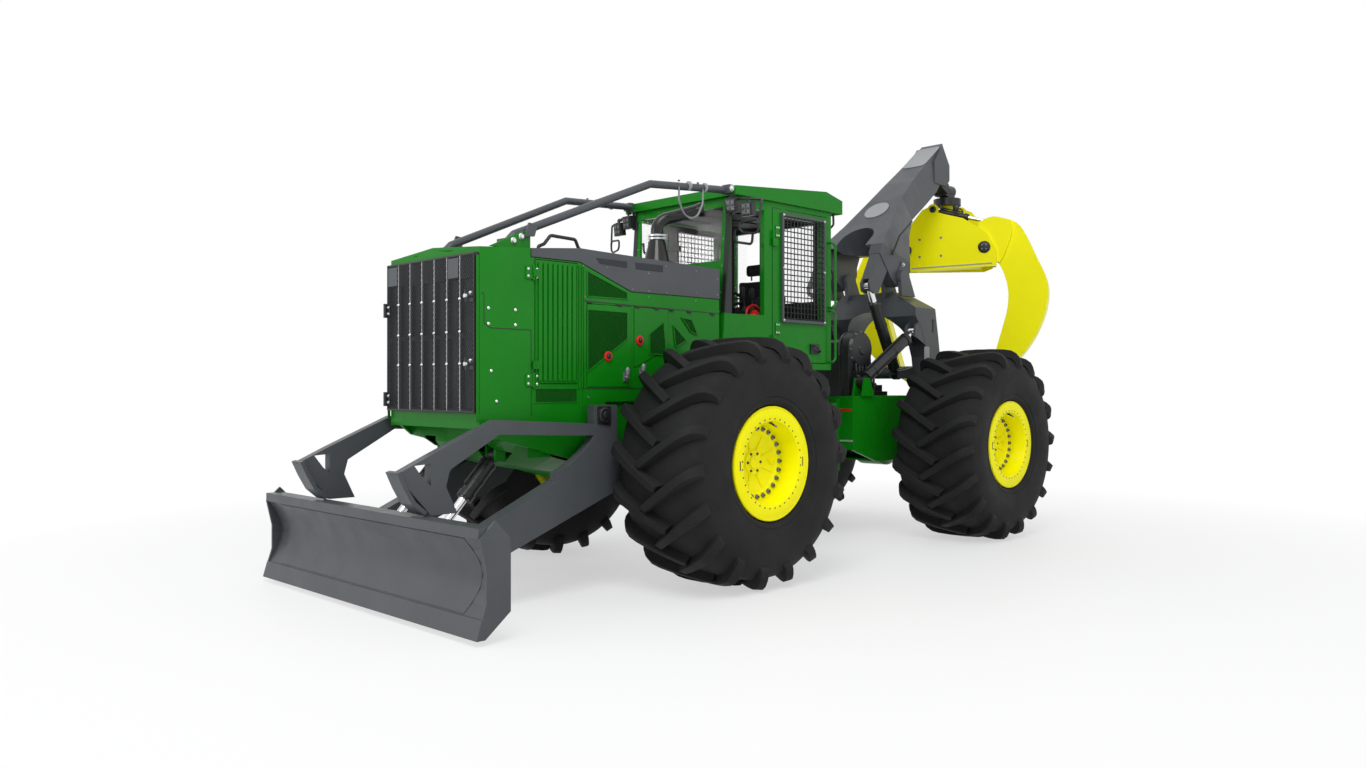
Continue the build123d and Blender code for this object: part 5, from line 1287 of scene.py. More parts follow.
def make_cab_inside():
    pads, sticks, knobs, red, bars, column, lining = shapes(7)
    for side in BOTH:
        x = side * 0.360
        pads.block((x - 0.055, 1.060, 2.252), (x + 0.055, 1.560, 2.272))
        for y, lean in ((1.120, -0.02), (1.230, 0.0)):
            sticks.lathe((x, y, 2.270), Z, [(0, 0.034), (0.012, 0.034), (0.035, 0.018), (0.055, 0.012)], 16)
            sticks.bar((x, y, 2.320), (x - side * 0.010, y + lean, 2.400), 0.010, 10)
            knobs.lathe(
                (x - side * 0.010, y + lean, 2.390), Z,
                [(0, 0.016), (0.02, 0.024), (0.07, 0.027), (0.10, 0.022), (0.112, 0.006)], 16,
            )
        for k in range(5):
            knobs.block((x - 0.032, 1.330 + k * 0.038, 2.272), (x + 0.032, 1.352 + k * 0.038, 2.281))
    # red lever and its base beside the sill of the corner window
    red.tube(
        [
            (0.470, 1.020, 2.225), (0.470, 1.030, 2.290), (0.470, 1.110, 2.325), (0.470, 1.200, 2.300),
            (0.470, 1.230, 2.225),
        ],
        0.014, 0.06,
    )
    red.lathe((0.480, 1.120, 2.215), Z, [(0, 0.055), (0.030, 0.050), (0.060, 0.022), (0.064, 0.004)], 20)
    # steering column with its wheel, and the consoles beside the seat
    column.lathe(
        (0.160, 0.990, 1.780), Vector((0, 0.18, 1.0)),
        [(0, 0.110), (0.05, 0.100), (0.40, 0.055), (0.60, 0.050), (0.62, 0.030)], 24,
    )
    column.tube([on_steering_wheel(a) for a in round_turn(18)], 0.015, 0.02, closed=True)
    for a in (0.5, 2.6, 4.7):
        column.bar((0.160, 1.103, 2.410), on_steering_wheel(a), 0.009, 8)
    for x in (0.300, -0.410):
        column.plate([(x, y, z) for y, z in CONSOLE_SIDE], X * 0.110)
    # dark lining of the rear wall round its window, and of the roof
    around(lining, "y", (1.9440, 1.9380), (-0.645, 0.645, 1.790, 3.200), (-0.520, 0.520, 2.400, 3.150))
    lining.block((-0.560, 0.720, 3.190), (0.560, 1.930, 3.205))
    for x in (-0.30, 0.0, 0.30):
        lining.block((x - 0.012, 0.740, 3.180), (x + 0.012, 1.920, 3.190))
    column.show("steering_column", "front_chassis", "console_plastic", bevel=0.004)
    lining.show("cab_lining", "front_chassis", "console_plastic", bevel=0.001)
    # display on a stalk, and a grab handle under the roof
    sticks.tube([(0.300, 0.860, 2.100), (0.300, 0.840, 2.420), (0.330, 0.850, 2.520)], 0.014, 0.05)
    sticks.plate(
        [(0.250, 0.860, 2.500), (0.410, 0.820, 2.500), (0.410, 0.820, 2.625), (0.250, 0.860, 2.625)],
        (0.008, 0.030, 0.0),
    )
    sticks.tube([(-0.300, 0.860, 2.100), (-0.300, 0.840, 2.360)], 0.014, 0.05)
    bars.tube(
        [(-0.605, 0.80, 2.985), (-0.600, 0.80, 2.930), (-0.600, 1.22, 2.930), (-0.605, 1.22, 2.985)], 0.012,
        0.03,
    )
    for x in (-0.605, 0.605):
        bars.block((x - 0.012, 1.06, 2.20), (x + 0.012, 1.075, 3.16))
    # pedals on the floor
    for x in (-0.110, 0.110):
        sticks.plate(
            [
                (x - 0.045, 0.760, 1.775), (x + 0.045, 0.760, 1.775), (x + 0.045, 0.680, 1.880),
                (x - 0.045, 0.680, 1.880),
            ],
            (0, 0.010, 0.008),
        )
        sticks.bar((x, 0.735, 1.735), (x, 0.725, 1.815), 0.012, 8)
    pads.show("armrest_pads", "front_chassis", "console_plastic", finish="seat_fabric", bevel=0.008)
    sticks.show("cab_controls", "front_chassis", "console_plastic", bevel=0.002)
    knobs.show("cab_knobs", "front_chassis", "console_plastic", bevel=0.002)
    red.show("cab_red_handle", "front_chassis", "console_plastic", finish="signal_red")
    bars.show("cab_inner_bars", "front_chassis", "console_plastic", bevel=0.002)


# ---------------------------------------------------------------- blade


def make_blade(sizes):
    size = sizes.bolt_size
    edges, pads = shapes(2)
    edges.block((-1.42, -2.560, 0.655), (1.42, -2.548, 0.672))
    edges.show("blade_board_rail", "blade_assembly", "dark_grey_paint", bevel=0.003)
    # smooth board plate whose ends bow outwards
    board, loops = Shape(), []
    for k in range(17):
        t = 0.04 + 0.92 * k / 16
        bow = math.sin(math.pi * t)
        y, z, half = -2.560 + 0.110 * bow, 0.148 + 0.505 * t, 1.30 + 0.07 * bow
        loops.append(
            [(-half, y - 0.005, z), (half, y - 0.005, z), (half, y + 0.002, z), (-half, y + 0.002, z)]
        )
    board.rings(loops)
    board.show("blade_board", "blade_assembly", "dark_grey_paint", bevel=0.002)
    for side in BOTH:
        pads.bar(
            (side * 0.755, BLADE_PIVOT_Y, BLADE_PIVOT_Z), (side * 0.790, BLADE_PIVOT_Y, BLADE_PIVOT_Z),
            0.075, 28,
        )
        for y, z in circle((BLADE_PIVOT_Y, BLADE_PIVOT_Z), 0.052, 6):
            pads.bolt((side * 0.788, y, z), X * side, size * 0.7)
        pads.plate(
            mirrored(
                side,
                [
                    (0.7605, -1.010, 1.290), (0.7605, -0.880, 1.270), (0.7605, -0.880, 1.420),
                    (0.7605, -1.010, 1.420),
                ],
            ),
            X * side * 0.008,
        )
        pads.lathe(
            (side * 0.768, -0.945, 1.355), X * side,
            [(0, 0.058), (0.014, 0.058), (0.020, 0.050), (0.020, 0.026), (0.034, 0.022), (0.034, 0.002)],
            28,
        )
    pads.show("blade_pivot_caps", "blade_assembly", "black_paint", bevel=0.003)


# ---------------------------------------------------------------- arch, boom and grapple


def eight_retainer(shape, bolts, seat, out, along, pin_r, reach):
    """A pin's figure-eight retainer: a disc over the pin and a small one over its bolt."""
    seat, along, out = Vector(seat), Vector(along).normalized(), Vector(out)
    tail = seat + along * reach
    other = out.cross(along).normalized()
    points = []
    for k in range(9):
        a = math.pi / 2 + math.pi * k / 8
        points.append(seat + (along * math.cos(a) + other * math.sin(a)) * pin_r)
    for k in range(7):
        a = -math.pi / 2 + math.pi * k / 6
        points.append(tail + (along * math.cos(a) + other * math.sin(a)) * pin_r * 0.45)
    shape.plate(points, out * 0.012)
    bolts.bolt(tail + out * 0.012, out, 0.026)
    shape.bar(seat, seat + out * 0.022, pin_r * 0.66, 24)


def pad_on(shape, centre, u, v, half_u, half_v, round_by, thick):
    """A pad with rounded corners in the plane of u and v."""
    centre, u, v = Vector(centre), Vector(u).normalized(), Vector(v).normalized()
    points = []
    for cu, cv, start in ((1, 1, 0.0), (-1, 1, 90.0), (-1, -1, 180.0), (1, -1, 270.0)):
        for k in range(7):
            a = math.radians(start + 15.0 * k)
            points.append(centre + u * (cu * (half_u - round_by) + round_by * math.cos(a))
                          + v * (cv * (half_v - round_by) + round_by * math.sin(a)))
    shape.plate(points, u.cross(v).normalized() * thick)


def make_boom_details():
    pads, retainers, bolts, lines = shapes(4)
    slope = Vector((0, 0.79, 0.61))
    low_slope = Vector((0, 0.73, 0.68))
    pad_on(pads, (0.0, 4.695, 4.314), X, slope, 0.155, 0.235, 0.060, 0.006)
    pad_on(pads, (-0.01, 3.786, 3.575), X, low_slope, 0.150, 0.140, 0.139, 0.006)
    pads.show("boom_wear_pads", "boom", "dark_grey_paint", finish="pale_pad", bevel=0.002)
    for side in BOTH:
        out = X * side
        eight_retainer(retainers, bolts, (side * 0.431, 3.600, 2.760), out, (0, 0.2, 1.0), 0.085, 0.150)
        lines.tube(
            mirrored(side, [(0.445, 3.42, 3.00), (0.445, 3.56, 3.22), (0.445, 3.80, 3.40)]), 0.010, 0.05,
        )
    retainers.show("boom_pin_retainers", "boom", "dark_grey_paint", bevel=0.002)
    bolts.show("boom_bolts", "boom", "rod_chrome", finish="zinc_plate")
    lines.show("boom_pressure_lines", "boom", "black_paint")


def make_arch_details():
    pads, retainers, bolts = shapes(3)
    for side in BOTH:
        out = X * side
        pad_on(pads, (side * 0.6205, 3.820, 1.905), Y, Z, 0.050, 0.105, 0.020, 0.004 * side)
        eight_retainer(retainers, bolts, (side * 0.6215, 4.020, 1.590), out, (0, -0.3, 1.0), 0.095, 0.165)
    pads.show("arch_wear_pads", "arch", "dark_grey_paint", finish="pale_pad", bevel=0.001)
    retainers.show("arch_pin_retainers", "arch", "black_paint", bevel=0.002)
    bolts.show("arch_bolts", "arch", "rod_chrome", finish="zinc_plate")


def node_points(node, side=0):
    """A CAD node's corners, on one side of the machine where side isn't 0."""
    points = [v.co for v in frame["nodes"][node].data.vertices]
    return [p for p in points if side == 0 or p.x * side > 0]


def long_axis(points):
    """The middle, direction and reach each way of a long thin form."""
    middle = sum(points, Vector()) / len(points)
    far = max(points, key=lambda p: (p - middle).length)
    near = max(points, key=lambda p: (p - far).length)
    axis = (near - far).normalized()
    for _ in range(12):
        total = Vector()
        for p in points:
            total += (p - middle) * (p - middle).dot(axis)
        axis = total.normalized()
    reach = [(p - middle).dot(axis) for p in points]
    return middle, axis, min(reach), max(reach)


# the pressure line runs from this share of the barrel's far reach to this far from its gland
LINE_START, LINE_END = 0.45, 0.09


def make_ram(barrels, rods, side, radius):
    """The gland, clamp bands and pressure line of one ram, set along its barrel's own axis."""
    here = node_points(barrels, side)
    there = node_points(rods, side)
    middle, axis, low, high = long_axis(here)
    rod_middle = sum(there, Vector()) / len(there)
    if (rod_middle - middle).dot(axis) < 0:
        axis, low, high = -axis, -high, -low
    datum = middle - Vector((0, AXLE_Y, 0))
    gland_end = datum + axis * high
    ring, line = shapes(2)
    ring.lathe(
        gland_end - axis * 0.050, axis,
        [
            (0.0, radius + 0.0005), (0.0, radius + 0.008), (0.046, radius + 0.008), (0.050, radius + 0.004),
            (0.050, radius - 0.004),
        ],
        32, closed=True,
    )
    u, v = across(axis)
    for a in round_turn(8):
        d = u * math.cos(a) + v * math.sin(a)
        ring.bolt(gland_end - axis * 0.001 + d * (radius - 0.006), axis, 0.009)
    up = (Z - axis * Z.dot(axis)).normalized()
    off = up * (radius + 0.014)
    start = datum + axis * (low * LINE_START)
    line.tube([
        start + up * radius * 0.8, start + off,
        gland_end - axis * LINE_END + off, gland_end - axis * LINE_END + up * radius * 0.8,
    ], 0.009, 0.02, 8)
    for share in (0.1, 0.7):
        spot = datum + axis * (low * LINE_START * (1 - share) + (high - LINE_END) * share)
        line.lathe(
            spot, axis,
            [
                (-0.012, radius + 0.0008), (-0.012, radius + 0.004), (0.012, radius + 0.004),
                (0.012, radius + 0.0008),
            ],
            28, closed=True,
        )
    name = barrels + {1: "_left", -1: "_right", 0: ""}[side]
    ring.show(name + "_gland", barrels, "black_paint", bevel=0.001)
    line.show(name + "_line", barrels, "black_paint", bevel=0.001)


# barrel node, which is its body too, rod node, sides that corners are taken from, barrel's radius
RAMS = (
    ("blade_ram_barrels", "blade_ram_rods", (1, -1), 0.055),
    ("arch_ram_barrels", "arch_ram_rods", (1, -1), 0.062),
    ("boom_ram_barrels", "boom_ram_rods", (1, -1), 0.062),
    ("steering_barrel_left", "steering_rod_left", (0,), 0.048),
    ("steering_barrel_right", "steering_rod_right", (0,), 0.048),
    ("tong_barrel_left", "tong_rod_left", (0,), 0.038),
    ("tong_barrel_right", "tong_rod_right", (0,), 0.038),
)

GRAPPLE_Y = 5.280
GRAPPLE_TURN = math.radians(22)
GRAPPLE_U = Vector((math.cos(GRAPPLE_TURN), math.sin(GRAPPLE_TURN), 0))
GRAPPLE_N = Vector((math.sin(GRAPPLE_TURN), -math.cos(GRAPPLE_TURN), 0))
HEAD_FACE = 0.2055


def on_head(across_head, z, out=HEAD_FACE):
    """A point on the grapple head: across it, its height, and how far out of its middle plane."""
    return Vector((0, GRAPPLE_Y, 0)) + GRAPPLE_U * across_head + GRAPPLE_N * out + Z * z


def make_grapple(sizes):
    caps, bolts, lips = shapes(3)
    for face in BOTH:
        out = GRAPPLE_N * face
        for a in (-0.470, 0.470):
            seat = on_head(a, 3.250, HEAD_FACE * face)
            caps.lathe(
                seat, out,
                [
                    (-0.001, 0.072), (0.010, 0.072), (0.014, 0.060), (0.022, 0.056), (0.024, 0.046),
                    (0.024, 0.002),
                ],
                32,
            )
            for t in round_turn(4, math.pi / 4):
                d = GRAPPLE_U * math.cos(t) + Z * math.sin(t)
                bolts.bolt(seat + out * 0.022 + d * 0.034, out, 0.016)
        for a in (-0.140, 0.140):
            seat = on_head(a, 3.740, HEAD_FACE * face)
            caps.lathe(seat, out, [(-0.001, 0.040), (0.010, 0.040), (0.016, 0.030), (0.016, 0.002)], 24)
        for a, z in ((-0.300, 3.378), (-0.042, 3.390), (-0.300, 3.167), (-0.042, 3.170)):
            bolts.bolt(on_head(a * face, z, HEAD_FACE * face), out, sizes.bolt_size * 0.8)
        lips.plate(
            [
                on_head(a, z, HEAD_FACE * face)
                for a, z in ((-0.400, 3.020), (0.560, 3.045), (0.560, 3.060), (-0.400, 3.035))
            ],
            out * 0.005,
        )
    caps.show("grapple_pin_caps", "grapple_head", "yellow_paint", finish="black_paint", bevel=0.001)
    bolts.show("grapple_bolts", "grapple_head", "rod_chrome", finish="bolt_steel")
    lips.show("grapple_lips", "grapple_head", "yellow_paint", finish="pale_pad", bevel=0.001)


# outlines (across the head, height) of a tong and of its knuckle, their half thicknesses and the ram's slot
TONG = (
    (0.395, 3.560), (0.560, 3.620), (0.760, 3.580), (0.870, 3.510), (0.950, 3.370), (1.040, 3.150),
    (1.160, 2.900), (1.200, 2.700), (1.160, 2.440), (1.040, 2.150), (0.840, 1.870), (0.460, 1.620),
    (0.540, 1.800), (0.600, 2.030), (0.680, 2.310), (0.740, 2.540), (0.740, 2.790), (0.640, 3.060),
    (0.520, 3.130), (0.400, 3.150),
)
KNUCKLE = (
    (0.395, 3.560), (0.500, 3.605), (0.570, 3.620), (0.650, 3.605), (0.760, 3.560), (0.800, 3.440),
    (0.700, 3.150), (0.640, 3.060), (0.520, 3.130), (0.400, 3.150),
)
SLOT_START = ((0.398, 3.439), (0.636, 3.439), (0.636, 3.600))
TONG_HALF, KNUCKLE_HALF = 0.135, 0.171
SLOT_NEAR, SLOT_FAR = -0.065, -0.151
TONG_PIN = (0.470, 3.250)


def make_tongs():
    hole = circle(TONG_PIN, 0.0435)
    body, knuckle = eased(TONG), eased(KNUCKLE)
    slotted = [tuple(p) for p in SLOT_START] + [p for p in body if p[0] > 0.637 or p[1] < 3.438]
    slotted_knuckle = [tuple(p) for p in SLOT_START] + [p for p in knuckle if p[0] > 0.637 or p[1] < 3.438]
    for name, face in (("left", 1), ("right", -1)):
        def place(a, out, z, face=face):
            return on_head(a * face, z, -out * face)

        tong = Shape()
        for outline, low, high in (
            (body, SLOT_NEAR, TONG_HALF), (slotted, -TONG_HALF, SLOT_NEAR - 0.0003),
            (knuckle, TONG_HALF + 0.0003, KNUCKLE_HALF), (slotted_knuckle, SLOT_FAR, -TONG_HALF - 0.0003),
            (knuckle, -KNUCKLE_HALF, SLOT_FAR - 0.0003),
        ):
            tong.sheet(outline, [hole], low, high, place)
        piece = tong.show("tong_" + name + "_plates", "tong_" + name, "yellow_paint", bevel=0.006)
        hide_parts("tong_" + name)


WINCH_Y = WHEELBASE - 0.895
WINCH_Z = 1.960
DECK_Z = 1.4753


def make_winch():
    case, lumps, fixings = shapes(3)
    cheek = [(-0.208, 0.0), (0.268, 0.0), (0.168, 0.608), (0.004, 0.692), (-0.148, 0.608)]
    for side in BOTH:
        case.plate([(side * 0.295, WINCH_Y + y, DECK_Z + z) for y, z in cheek], X * side * 0.035)
        for y, z in ((-0.150, 0.06), (0.200, 0.06), (-0.110, 0.540), (0.130, 0.540)):
            fixings.bolt((side * 0.330, WINCH_Y + y, DECK_Z + z), X * side, 0.022)
    case.plate(
        [
            (-0.295, WINCH_Y - 0.200, DECK_Z), (0.295, WINCH_Y - 0.200, DECK_Z),
            (0.295, WINCH_Y - 0.150, DECK_Z + 0.560), (-0.295, WINCH_Y - 0.150, DECK_Z + 0.560),
        ],
        -Y * 0.010,
    )
    # the gear case beside the left cheek, its cover and its ring of bolts
    gear = Vector((0.330, WINCH_Y, WINCH_Z))
    case.lathe(
        gear, X,
        [
            (-0.006, 0.196), (0.085, 0.196), (0.100, 0.186), (0.118, 0.172), (0.118, 0.060), (0.130, 0.054),
            (0.130, 0.004),
        ],
        40,
    )
    case.plate(
        [
            (0.332, WINCH_Y - 0.196, DECK_Z), (0.332, WINCH_Y + 0.240, DECK_Z),
            (0.332, WINCH_Y + 0.196, WINCH_Z), (0.332, WINCH_Y - 0.196, WINCH_Z),
        ],
        X * 0.084,
    )
    for a in round_turn(12):
        fixings.bolt(gear + X * 0.100 + spoke(a) * 0.180, X, 0.016)
    # control valve on the case: sections side by side with their spool ends and ports
    for k in range(5):
        y = WINCH_Y - 0.130 + k * 0.058
        lumps.block((0.417, y, 1.560), (0.470, y + 0.052, 1.735))
        lumps.lathe(
            (0.443, y + 0.026, 1.735), Z, [(0, 0.020), (0.030, 0.020), (0.034, 0.014), (0.060, 0.012)], 14,
        )
        for z in (1.620, 1.680):
            fixings.bar((0.470, y + 0.026, z), (0.484, y + 0.026, z), 0.012, 6)
    for k in range(3):
        y, top = WINCH_Y - 0.104 + 0.116 * k, 1.620 + 0.03 * k
        lumps.tube([(0.484, y, top), (0.505, y, top - 0.04), (0.490, y, 1.500)], 0.012, 0.03, 8)
    case.show("winch_case", "rear_chassis", "dark_grey_paint", finish="black_paint", bevel=0.004)
    lumps.show("winch_valve", "rear_chassis", "black_paint", bevel=0.002)
    fixings.show("winch_fixings", "rear_chassis", "rod_chrome", finish="bolt_steel")


def make_rear_frame(sizes):
    bolts, strip, deck, reflector = shapes(4)
    for side in BOTH:
        for y in (4.40, 4.60):
            bolts.bolt((side * 0.5905, y, 1.20), X * side, sizes.bolt_size)
        strip.side_block(side, (0.400, 2.500, 1.012), (0.588, 2.492, 1.030))
        # red reflective strips low on the frame's front face and on its sides
        reflector.side_block(side, (0.420, 2.4995, 1.322), (0.575, 2.4965, 1.346))
        reflector.side_block(side, (0.590, 4.300, 1.050), (0.5925, 4.455, 1.075))
    reflector.show("rear_reflectors", "rear_chassis", "green_paint", finish="signal_red", bevel=0.0008)
    # distribution block on the deck between the arch's legs, with its plugs
    deck.block((-0.340, 3.060, DECK_Z), (0.340, 3.480, 1.520))
    deck.block((-0.300, 3.100, 1.520), (0.300, 3.440, 1.590))
    for row in (3.17, 3.27, 3.37):
        for k in range(6):
            deck.lathe(
                (-0.25 + k * 0.10, row, 1.590), Z,
                [(0, 0.022), (0.012, 0.022), (0.014, 0.015), (0.022, 0.015)], 12,
            )
    bolts.show("rear_frame_bolts", "rear_chassis", "rod_chrome", finish="bolt_steel")
    strip.show("rear_frame_strip", "rear_chassis", "green_paint", finish="pale_pad", bevel=0.001)
    deck.show("deck_manifold", "rear_chassis", "black_paint", bevel=0.003)


# ---------------------------------------------------------------- stage


FLOOR_MIDDLE, FLOOR_RADIUS = 1.6, 42.0
CAMERA_LENS, CAMERA_SENSOR = 27.47, 36.0
CAMERA_PLACE = (6.8372, -6.1372 + AXLE_Y, 1.5728)
CAMERA_TILT, CAMERA_TURN = math.radians(90.135), math.radians(45.14)
# name, place, point that it is aimed at, width and power
LIGHTS = (
    ("key_light", (5.0, -5.0, 9.5), (0, 1.0, 1.5), 6.0, 620.0),
    ("fill_light", (9.0, 6.0, 5.0), (0, 2.5, 1.5), 6.0, 60.0),
    ("front_light", (-4.0, -10.0, 4.0), (0, 0.0, 1.2), 5.0, 210.0),
)


def make_stage():
    floor = Shape()
    floor.lathe((0, FLOOR_MIDDLE, 0.0), Z, [(-0.02, FLOOR_RADIUS), (0.0, FLOOR_RADIUS)], 96)
    data = bpy.data.meshes.new("studio_floor")
    floor.mesh.to_mesh(data)
    floor.mesh.free()
    piece = bpy.data.objects.new("studio_floor", data)
    bpy.context.scene.collection.objects.link(piece)
    cover = Wiring("studio_floor")
    shader = cover.shader
    pale = cover.mix(cover.noise(0.6, 2.0), (0.80, 0.80, 0.80), (0.84, 0.84, 0.84))
    cover.link(pale, shader.inputs["Base Color"])
    shader.inputs["Roughness"].default_value = 0.55
    apart = cover.node("ShaderNodeVectorMath", operation="LENGTH")
    middle = cover.node("ShaderNodeVectorMath", operation="SUBTRACT")
    middle.inputs[1].default_value = (0, FLOOR_MIDDLE + AXLE_Y, 0)
    cover.link(cover.place, middle.inputs[0])
    cover.link(middle.outputs[0], apart.inputs[0])
    far = cover.spread(apart.outputs["Value"], 3.0, 8.0, 0.55, 1.0)
    glow = cover.node("ShaderNodeEmission")
    path = cover.node("ShaderNodeLightPath")
    seen = cover.sum(
        "MAXIMUM", cover.sum("MAXIMUM", path.outputs["Is Camera Ray"], path.outputs["Is Glossy Ray"]),
        path.outputs["Is Transmission Ray"],
    )
    blend = cover.node("ShaderNodeMixShader")
    cover.link(cover.sum("MULTIPLY", far, seen), blend.inputs["Fac"])
    cover.link(shader.outputs["BSDF"], blend.inputs[1])
    cover.link(glow.outputs["Emission"], blend.inputs[2])
    cover.link(blend.outputs["Shader"], cover.tree.nodes["Material Output"].inputs["Surface"])
    data.materials.append(cover.material)

    world = bpy.data.worlds.new("studio")
    bpy.context.scene.world = world
    world.use_nodes = True
    tree = world.node_tree
    ambient = tree.nodes["Background"]
    ambient.inputs["Color"].default_value = (0.95, 0.97, 1.0, 1.0)
    ambient.inputs["Strength"].default_value = 0.62
    backdrop = tree.nodes.new("ShaderNodeBackground")
    backdrop.inputs["Color"].default_value = (1.0, 1.0, 1.0, 1.0)
    path = tree.nodes.new("ShaderNodeLightPath")
    either = tree.nodes.new("ShaderNodeMath")
    either.operation = "MAXIMUM"
    tree.links.new(path.outputs["Is Camera Ray"], either.inputs[0])
    tree.links.new(path.outputs["Is Transmission Ray"], either.inputs[1])
    any_seen = tree.nodes.new("ShaderNodeMath")
    any_seen.operation = "MAXIMUM"
    tree.links.new(either.outputs[0], any_seen.inputs[0])
    tree.links.new(path.outputs["Is Glossy Ray"], any_seen.inputs[1])
    mix = tree.nodes.new("ShaderNodeMixShader")
    tree.links.new(any_seen.outputs[0], mix.inputs["Fac"])
    tree.links.new(ambient.outputs[0], mix.inputs[1])
    tree.links.new(backdrop.outputs[0], mix.inputs[2])
    tree.links.new(mix.outputs[0], tree.nodes["World Output"].inputs["Surface"])

    for name, place, aim, size, energy in LIGHTS:
        lamp = bpy.data.lights.new(name, "AREA")
        lamp.shape = "DISK"
        lamp.size = size
        lamp.energy = energy
        holder = bpy.data.objects.new(name, lamp)
        bpy.context.scene.collection.objects.link(holder)
        holder.location = Vector(place) + Y * AXLE_Y
        toward = Vector(aim) + Y * AXLE_Y - holder.location
        holder.rotation_euler = toward.to_track_quat("-Z", "Y").to_euler()

    view = bpy.data.cameras.new("camera")
    view.lens = CAMERA_LENS
    view.sensor_width = CAMERA_SENSOR
    camera = bpy.data.objects.new("camera", view)
    bpy.context.scene.collection.objects.link(camera)
    camera.location = CAMERA_PLACE
    camera.rotation_euler = Euler((CAMERA_TILT, 0.0, CAMERA_TURN))
    bpy.context.scene.camera = camera
    bpy.context.scene.view_settings.view_transform = "Standard"


# ---------------------------------------------------------------- operators


class SKIDDER_OT_finishes(bpy.types.Operator):
    """Makes every finish and puts it on the frame's own parts"""

    bl_idname = "skidder.finishes"
    bl_label = "Finishes"

    def execute(self, context):
        make_finishes(context.scene.skidder_paints)
        for finish, nodes in NODE_FINISH.items():
            for node in nodes:
                slots = frame["nodes"][node].material_slots
                if not slots:
                    frame["nodes"][node].data.materials.append(bpy.data.materials[finish])
                for slot in slots:
                    slot.material = bpy.data.materials[finish]
        return {"FINISHED"}


class SKIDDER_OT_tyres(bpy.types.Operator):
    """Makes the four tyres with their tread bars"""

    bl_idname = "skidder.tyres"
    bl_label = "Tyres"

    def execute(self, context):
        for name, side, along in WHEELS:
            make_tyre(name, side, along, context.scene.skidder_sizes)
        return {"FINISHED"}


class SKIDDER_OT_wheel_fittings(bpy.types.Operator):
    """Makes the dishes, nuts, valves and hub caps of the rims"""

    bl_idname = "skidder.wheel_fittings"
    bl_label = "Wheel fittings"

    def execute(self, context):
        for name, side, along in WHEELS:
            make_wheel_fittings(name, side, along)
        return {"FINISHED"}


class SKIDDER_OT_grille(bpy.types.Operator):
    """Makes the nose grille's mesh, seams, plates and latches"""

    bl_idname = "skidder.grille"
    bl_label = "Nose grille"

    def execute(self, context):
        make_grille(context.scene.skidder_sizes)
        return {"FINISHED"}


class SKIDDER_OT_nose_sides(bpy.types.Operator):
    """Makes the bolts, seams, hinge straps, vents and gable of the nose"""

    bl_idname = "skidder.nose_sides"
    bl_label = "Nose sides"

    def execute(self, context):
        make_nose_sides(context.scene.skidder_sizes)
        return {"FINISHED"}


class SKIDDER_OT_side_panels(bpy.types.Operator):
    """Makes the engine bay's screens, seams, latches and drain rings, and the louvre doors' fittings"""

    bl_idname = "skidder.side_panels"
    bl_label = "Side panels"

    def execute(self, context):
        make_side_panels(context.scene.skidder_sizes)
        make_louvre_doors(context.scene.skidder_sizes)
        return {"FINISHED"}


class SKIDDER_OT_bonnet(bpy.types.Operator):
    """Makes the bonnet's vents, bolts and grab rail"""

    bl_idname = "skidder.bonnet"
    bl_label = "Bonnet"

    def execute(self, context):
        make_bonnet(context.scene.skidder_sizes)
        return {"FINISHED"}


class SKIDDER_OT_guard(bpy.types.Operator):
    """Makes the feet, collars and bolts of the brush guard"""

    bl_idname = "skidder.guard"
    bl_label = "Brush guard"

    def execute(self, context):
        make_guard()
        return {"FINISHED"}


class SKIDDER_OT_exhaust(bpy.types.Operator):
    """Makes the exhaust's clamps and its wire loop"""

    bl_idname = "skidder.exhaust"
    bl_label = "Exhaust"

    def execute(self, context):
        make_exhaust()
        return {"FINISHED"}


class SKIDDER_OT_cab_outside(bpy.types.Operator):
    """Makes the cab's grab rails, lamps and bolts"""

    bl_idname = "skidder.cab_outside"
    bl_label = "Cab outside"

    def execute(self, context):
        make_cab_outside(context.scene.skidder_sizes)
        return {"FINISHED"}


class SKIDDER_OT_cab_doors(bpy.types.Operator):
    """Makes the woven window guards, straps and handles of the doors"""

    bl_idname = "skidder.cab_doors"
    bl_label = "Cab doors"

    def execute(self, context):
        make_cab_doors(context.scene.skidder_sizes)
        return {"FINISHED"}


class SKIDDER_OT_seat(bpy.types.Operator):
    """Makes the operator's seat: its stuffed pads and its frame"""

    bl_idname = "skidder.seat"
    bl_label = "Driver's place"

    def execute(self, context):
        make_seat()
        return {"FINISHED"}


class SKIDDER_OT_cab_inside(bpy.types.Operator):
    """Makes the armrests, sticks, pedals and display inside the cab"""

    bl_idname = "skidder.cab_inside"
    bl_label = "Cab inside"

    def execute(self, context):
        make_cab_inside()
        return {"FINISHED"}


class SKIDDER_OT_blade(bpy.types.Operator):
    """Makes the blade's bowed board, its rail and the pivot caps"""

    bl_idname = "skidder.blade"
    bl_label = "Blade"

    def execute(self, context):
        make_blade(context.scene.skidder_sizes)
        return {"FINISHED"}


class SKIDDER_OT_arch_and_boom(bpy.types.Operator):
    """Makes the wear pads and pin retainers of the arch and boom"""

    bl_idname = "skidder.arch_and_boom"
    bl_label = "Arch and boom"

    def execute(self, context):
        make_boom_details()
        make_arch_details()
        return {"FINISHED"}


class SKIDDER_OT_rams(bpy.types.Operator):
    """Makes the glands and pressure lines of the hydraulic rams"""

    bl_idname = "skidder.rams"
    bl_label = "Rams"

    def execute(self, context):
        for barrels, rods, sides, radius in RAMS:
            for side in sides:
                make_ram(barrels, rods, side, radius)
        return {"FINISHED"}


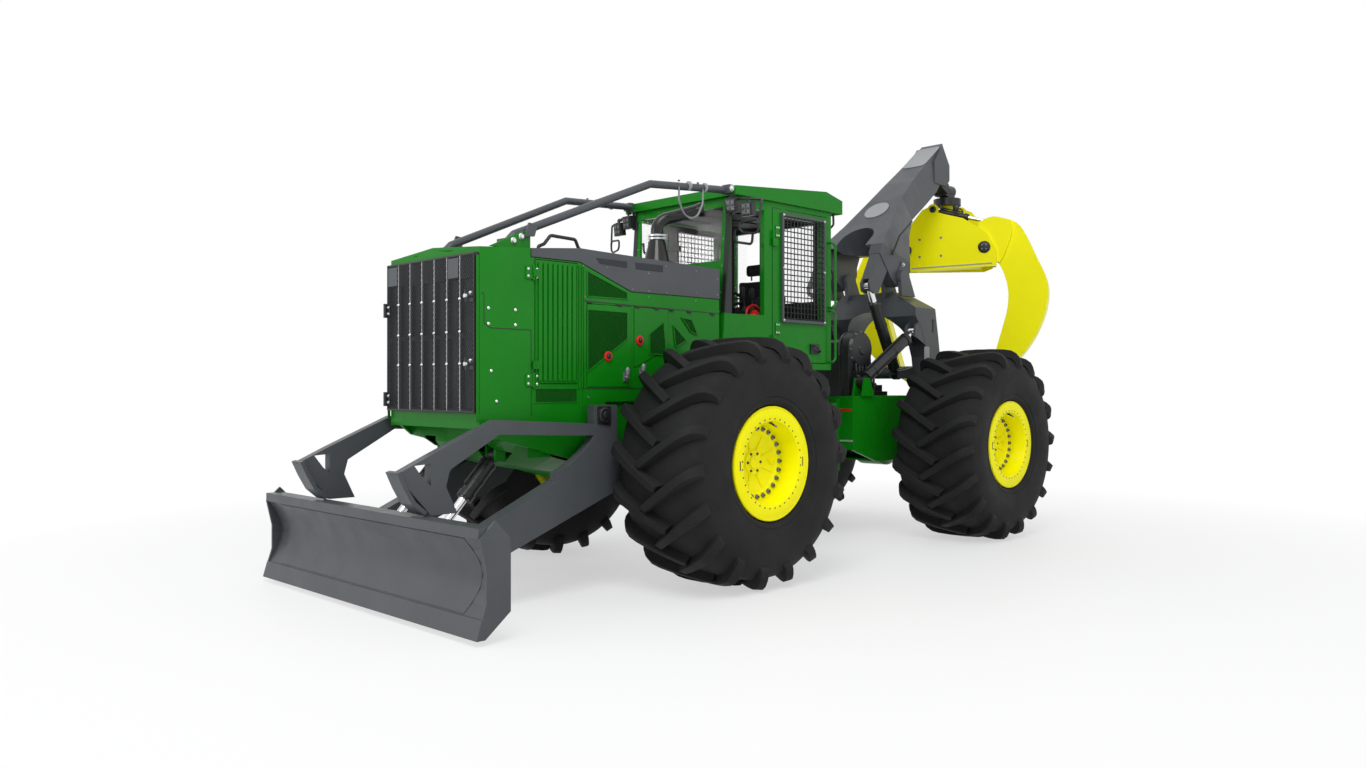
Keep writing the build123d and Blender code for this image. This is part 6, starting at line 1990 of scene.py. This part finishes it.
class SKIDDER_OT_grapple(bpy.types.Operator):
    """Makes the grapple's tongs, pin caps, bolts and lips"""

    bl_idname = "skidder.grapple"
    bl_label = "Grapple"

    def execute(self, context):
        make_grapple(context.scene.skidder_sizes)
        make_tongs()
        return {"FINISHED"}


class SKIDDER_OT_rear_frame(bpy.types.Operator):
    """Makes the rear frame's bolts and strip, its deck block and the winch's case and valve"""

    bl_idname = "skidder.rear_frame"
    bl_label = "Rear frame"

    def execute(self, context):
        make_rear_frame(context.scene.skidder_sizes)
        make_winch()
        return {"FINISHED"}


class SKIDDER_OT_stage(bpy.types.Operator):
    """Makes the floor, the lights and the camera"""

    bl_idname = "skidder.stage"
    bl_label = "Stage"

    def execute(self, context):
        make_stage()
        return {"FINISHED"}


PIECES = (
    SKIDDER_OT_finishes, SKIDDER_OT_tyres, SKIDDER_OT_wheel_fittings, SKIDDER_OT_grille,
    SKIDDER_OT_nose_sides, SKIDDER_OT_side_panels, SKIDDER_OT_bonnet, SKIDDER_OT_guard,
    SKIDDER_OT_exhaust, SKIDDER_OT_cab_outside, SKIDDER_OT_cab_doors, SKIDDER_OT_seat,
    SKIDDER_OT_cab_inside, SKIDDER_OT_blade, SKIDDER_OT_arch_and_boom, SKIDDER_OT_rams,
    SKIDDER_OT_grapple, SKIDDER_OT_rear_frame, SKIDDER_OT_stage,
)


class SKIDDER_PT_pieces(bpy.types.Panel):
    """Lists the sizes, the colours and the pieces"""

    bl_idname = "SKIDDER_PT_pieces"
    bl_label = "Grapple skidder"
    bl_space_type = "VIEW_3D"
    bl_region_type = "UI"
    bl_category = "Skidder"

    def draw(self, context):
        for group in (context.scene.skidder_sizes, context.scene.skidder_paints):
            column = self.layout.column(align=True)
            for key in group.__annotations__:
                column.prop(group, key)
        for piece in PIECES:
            self.layout.operator(piece.bl_idname)


CLASSES = (SkidderSizes, SkidderPaints) + PIECES + (SKIDDER_PT_pieces,)


def register():
    for cls in CLASSES:
        bpy.utils.register_class(cls)
    bpy.types.Scene.skidder_sizes = PointerProperty(type=SkidderSizes)
    bpy.types.Scene.skidder_paints = PointerProperty(type=SkidderPaints)


def unregister():
    del bpy.types.Scene.skidder_paints
    del bpy.types.Scene.skidder_sizes
    for cls in reversed(CLASSES):
        bpy.utils.unregister_class(cls)


def main():
    register()
    for piece in PIECES:
        group, name = piece.bl_idname.split(".")
        getattr(getattr(bpy.ops, group), name)()


if __name__ == "__main__":
    main()
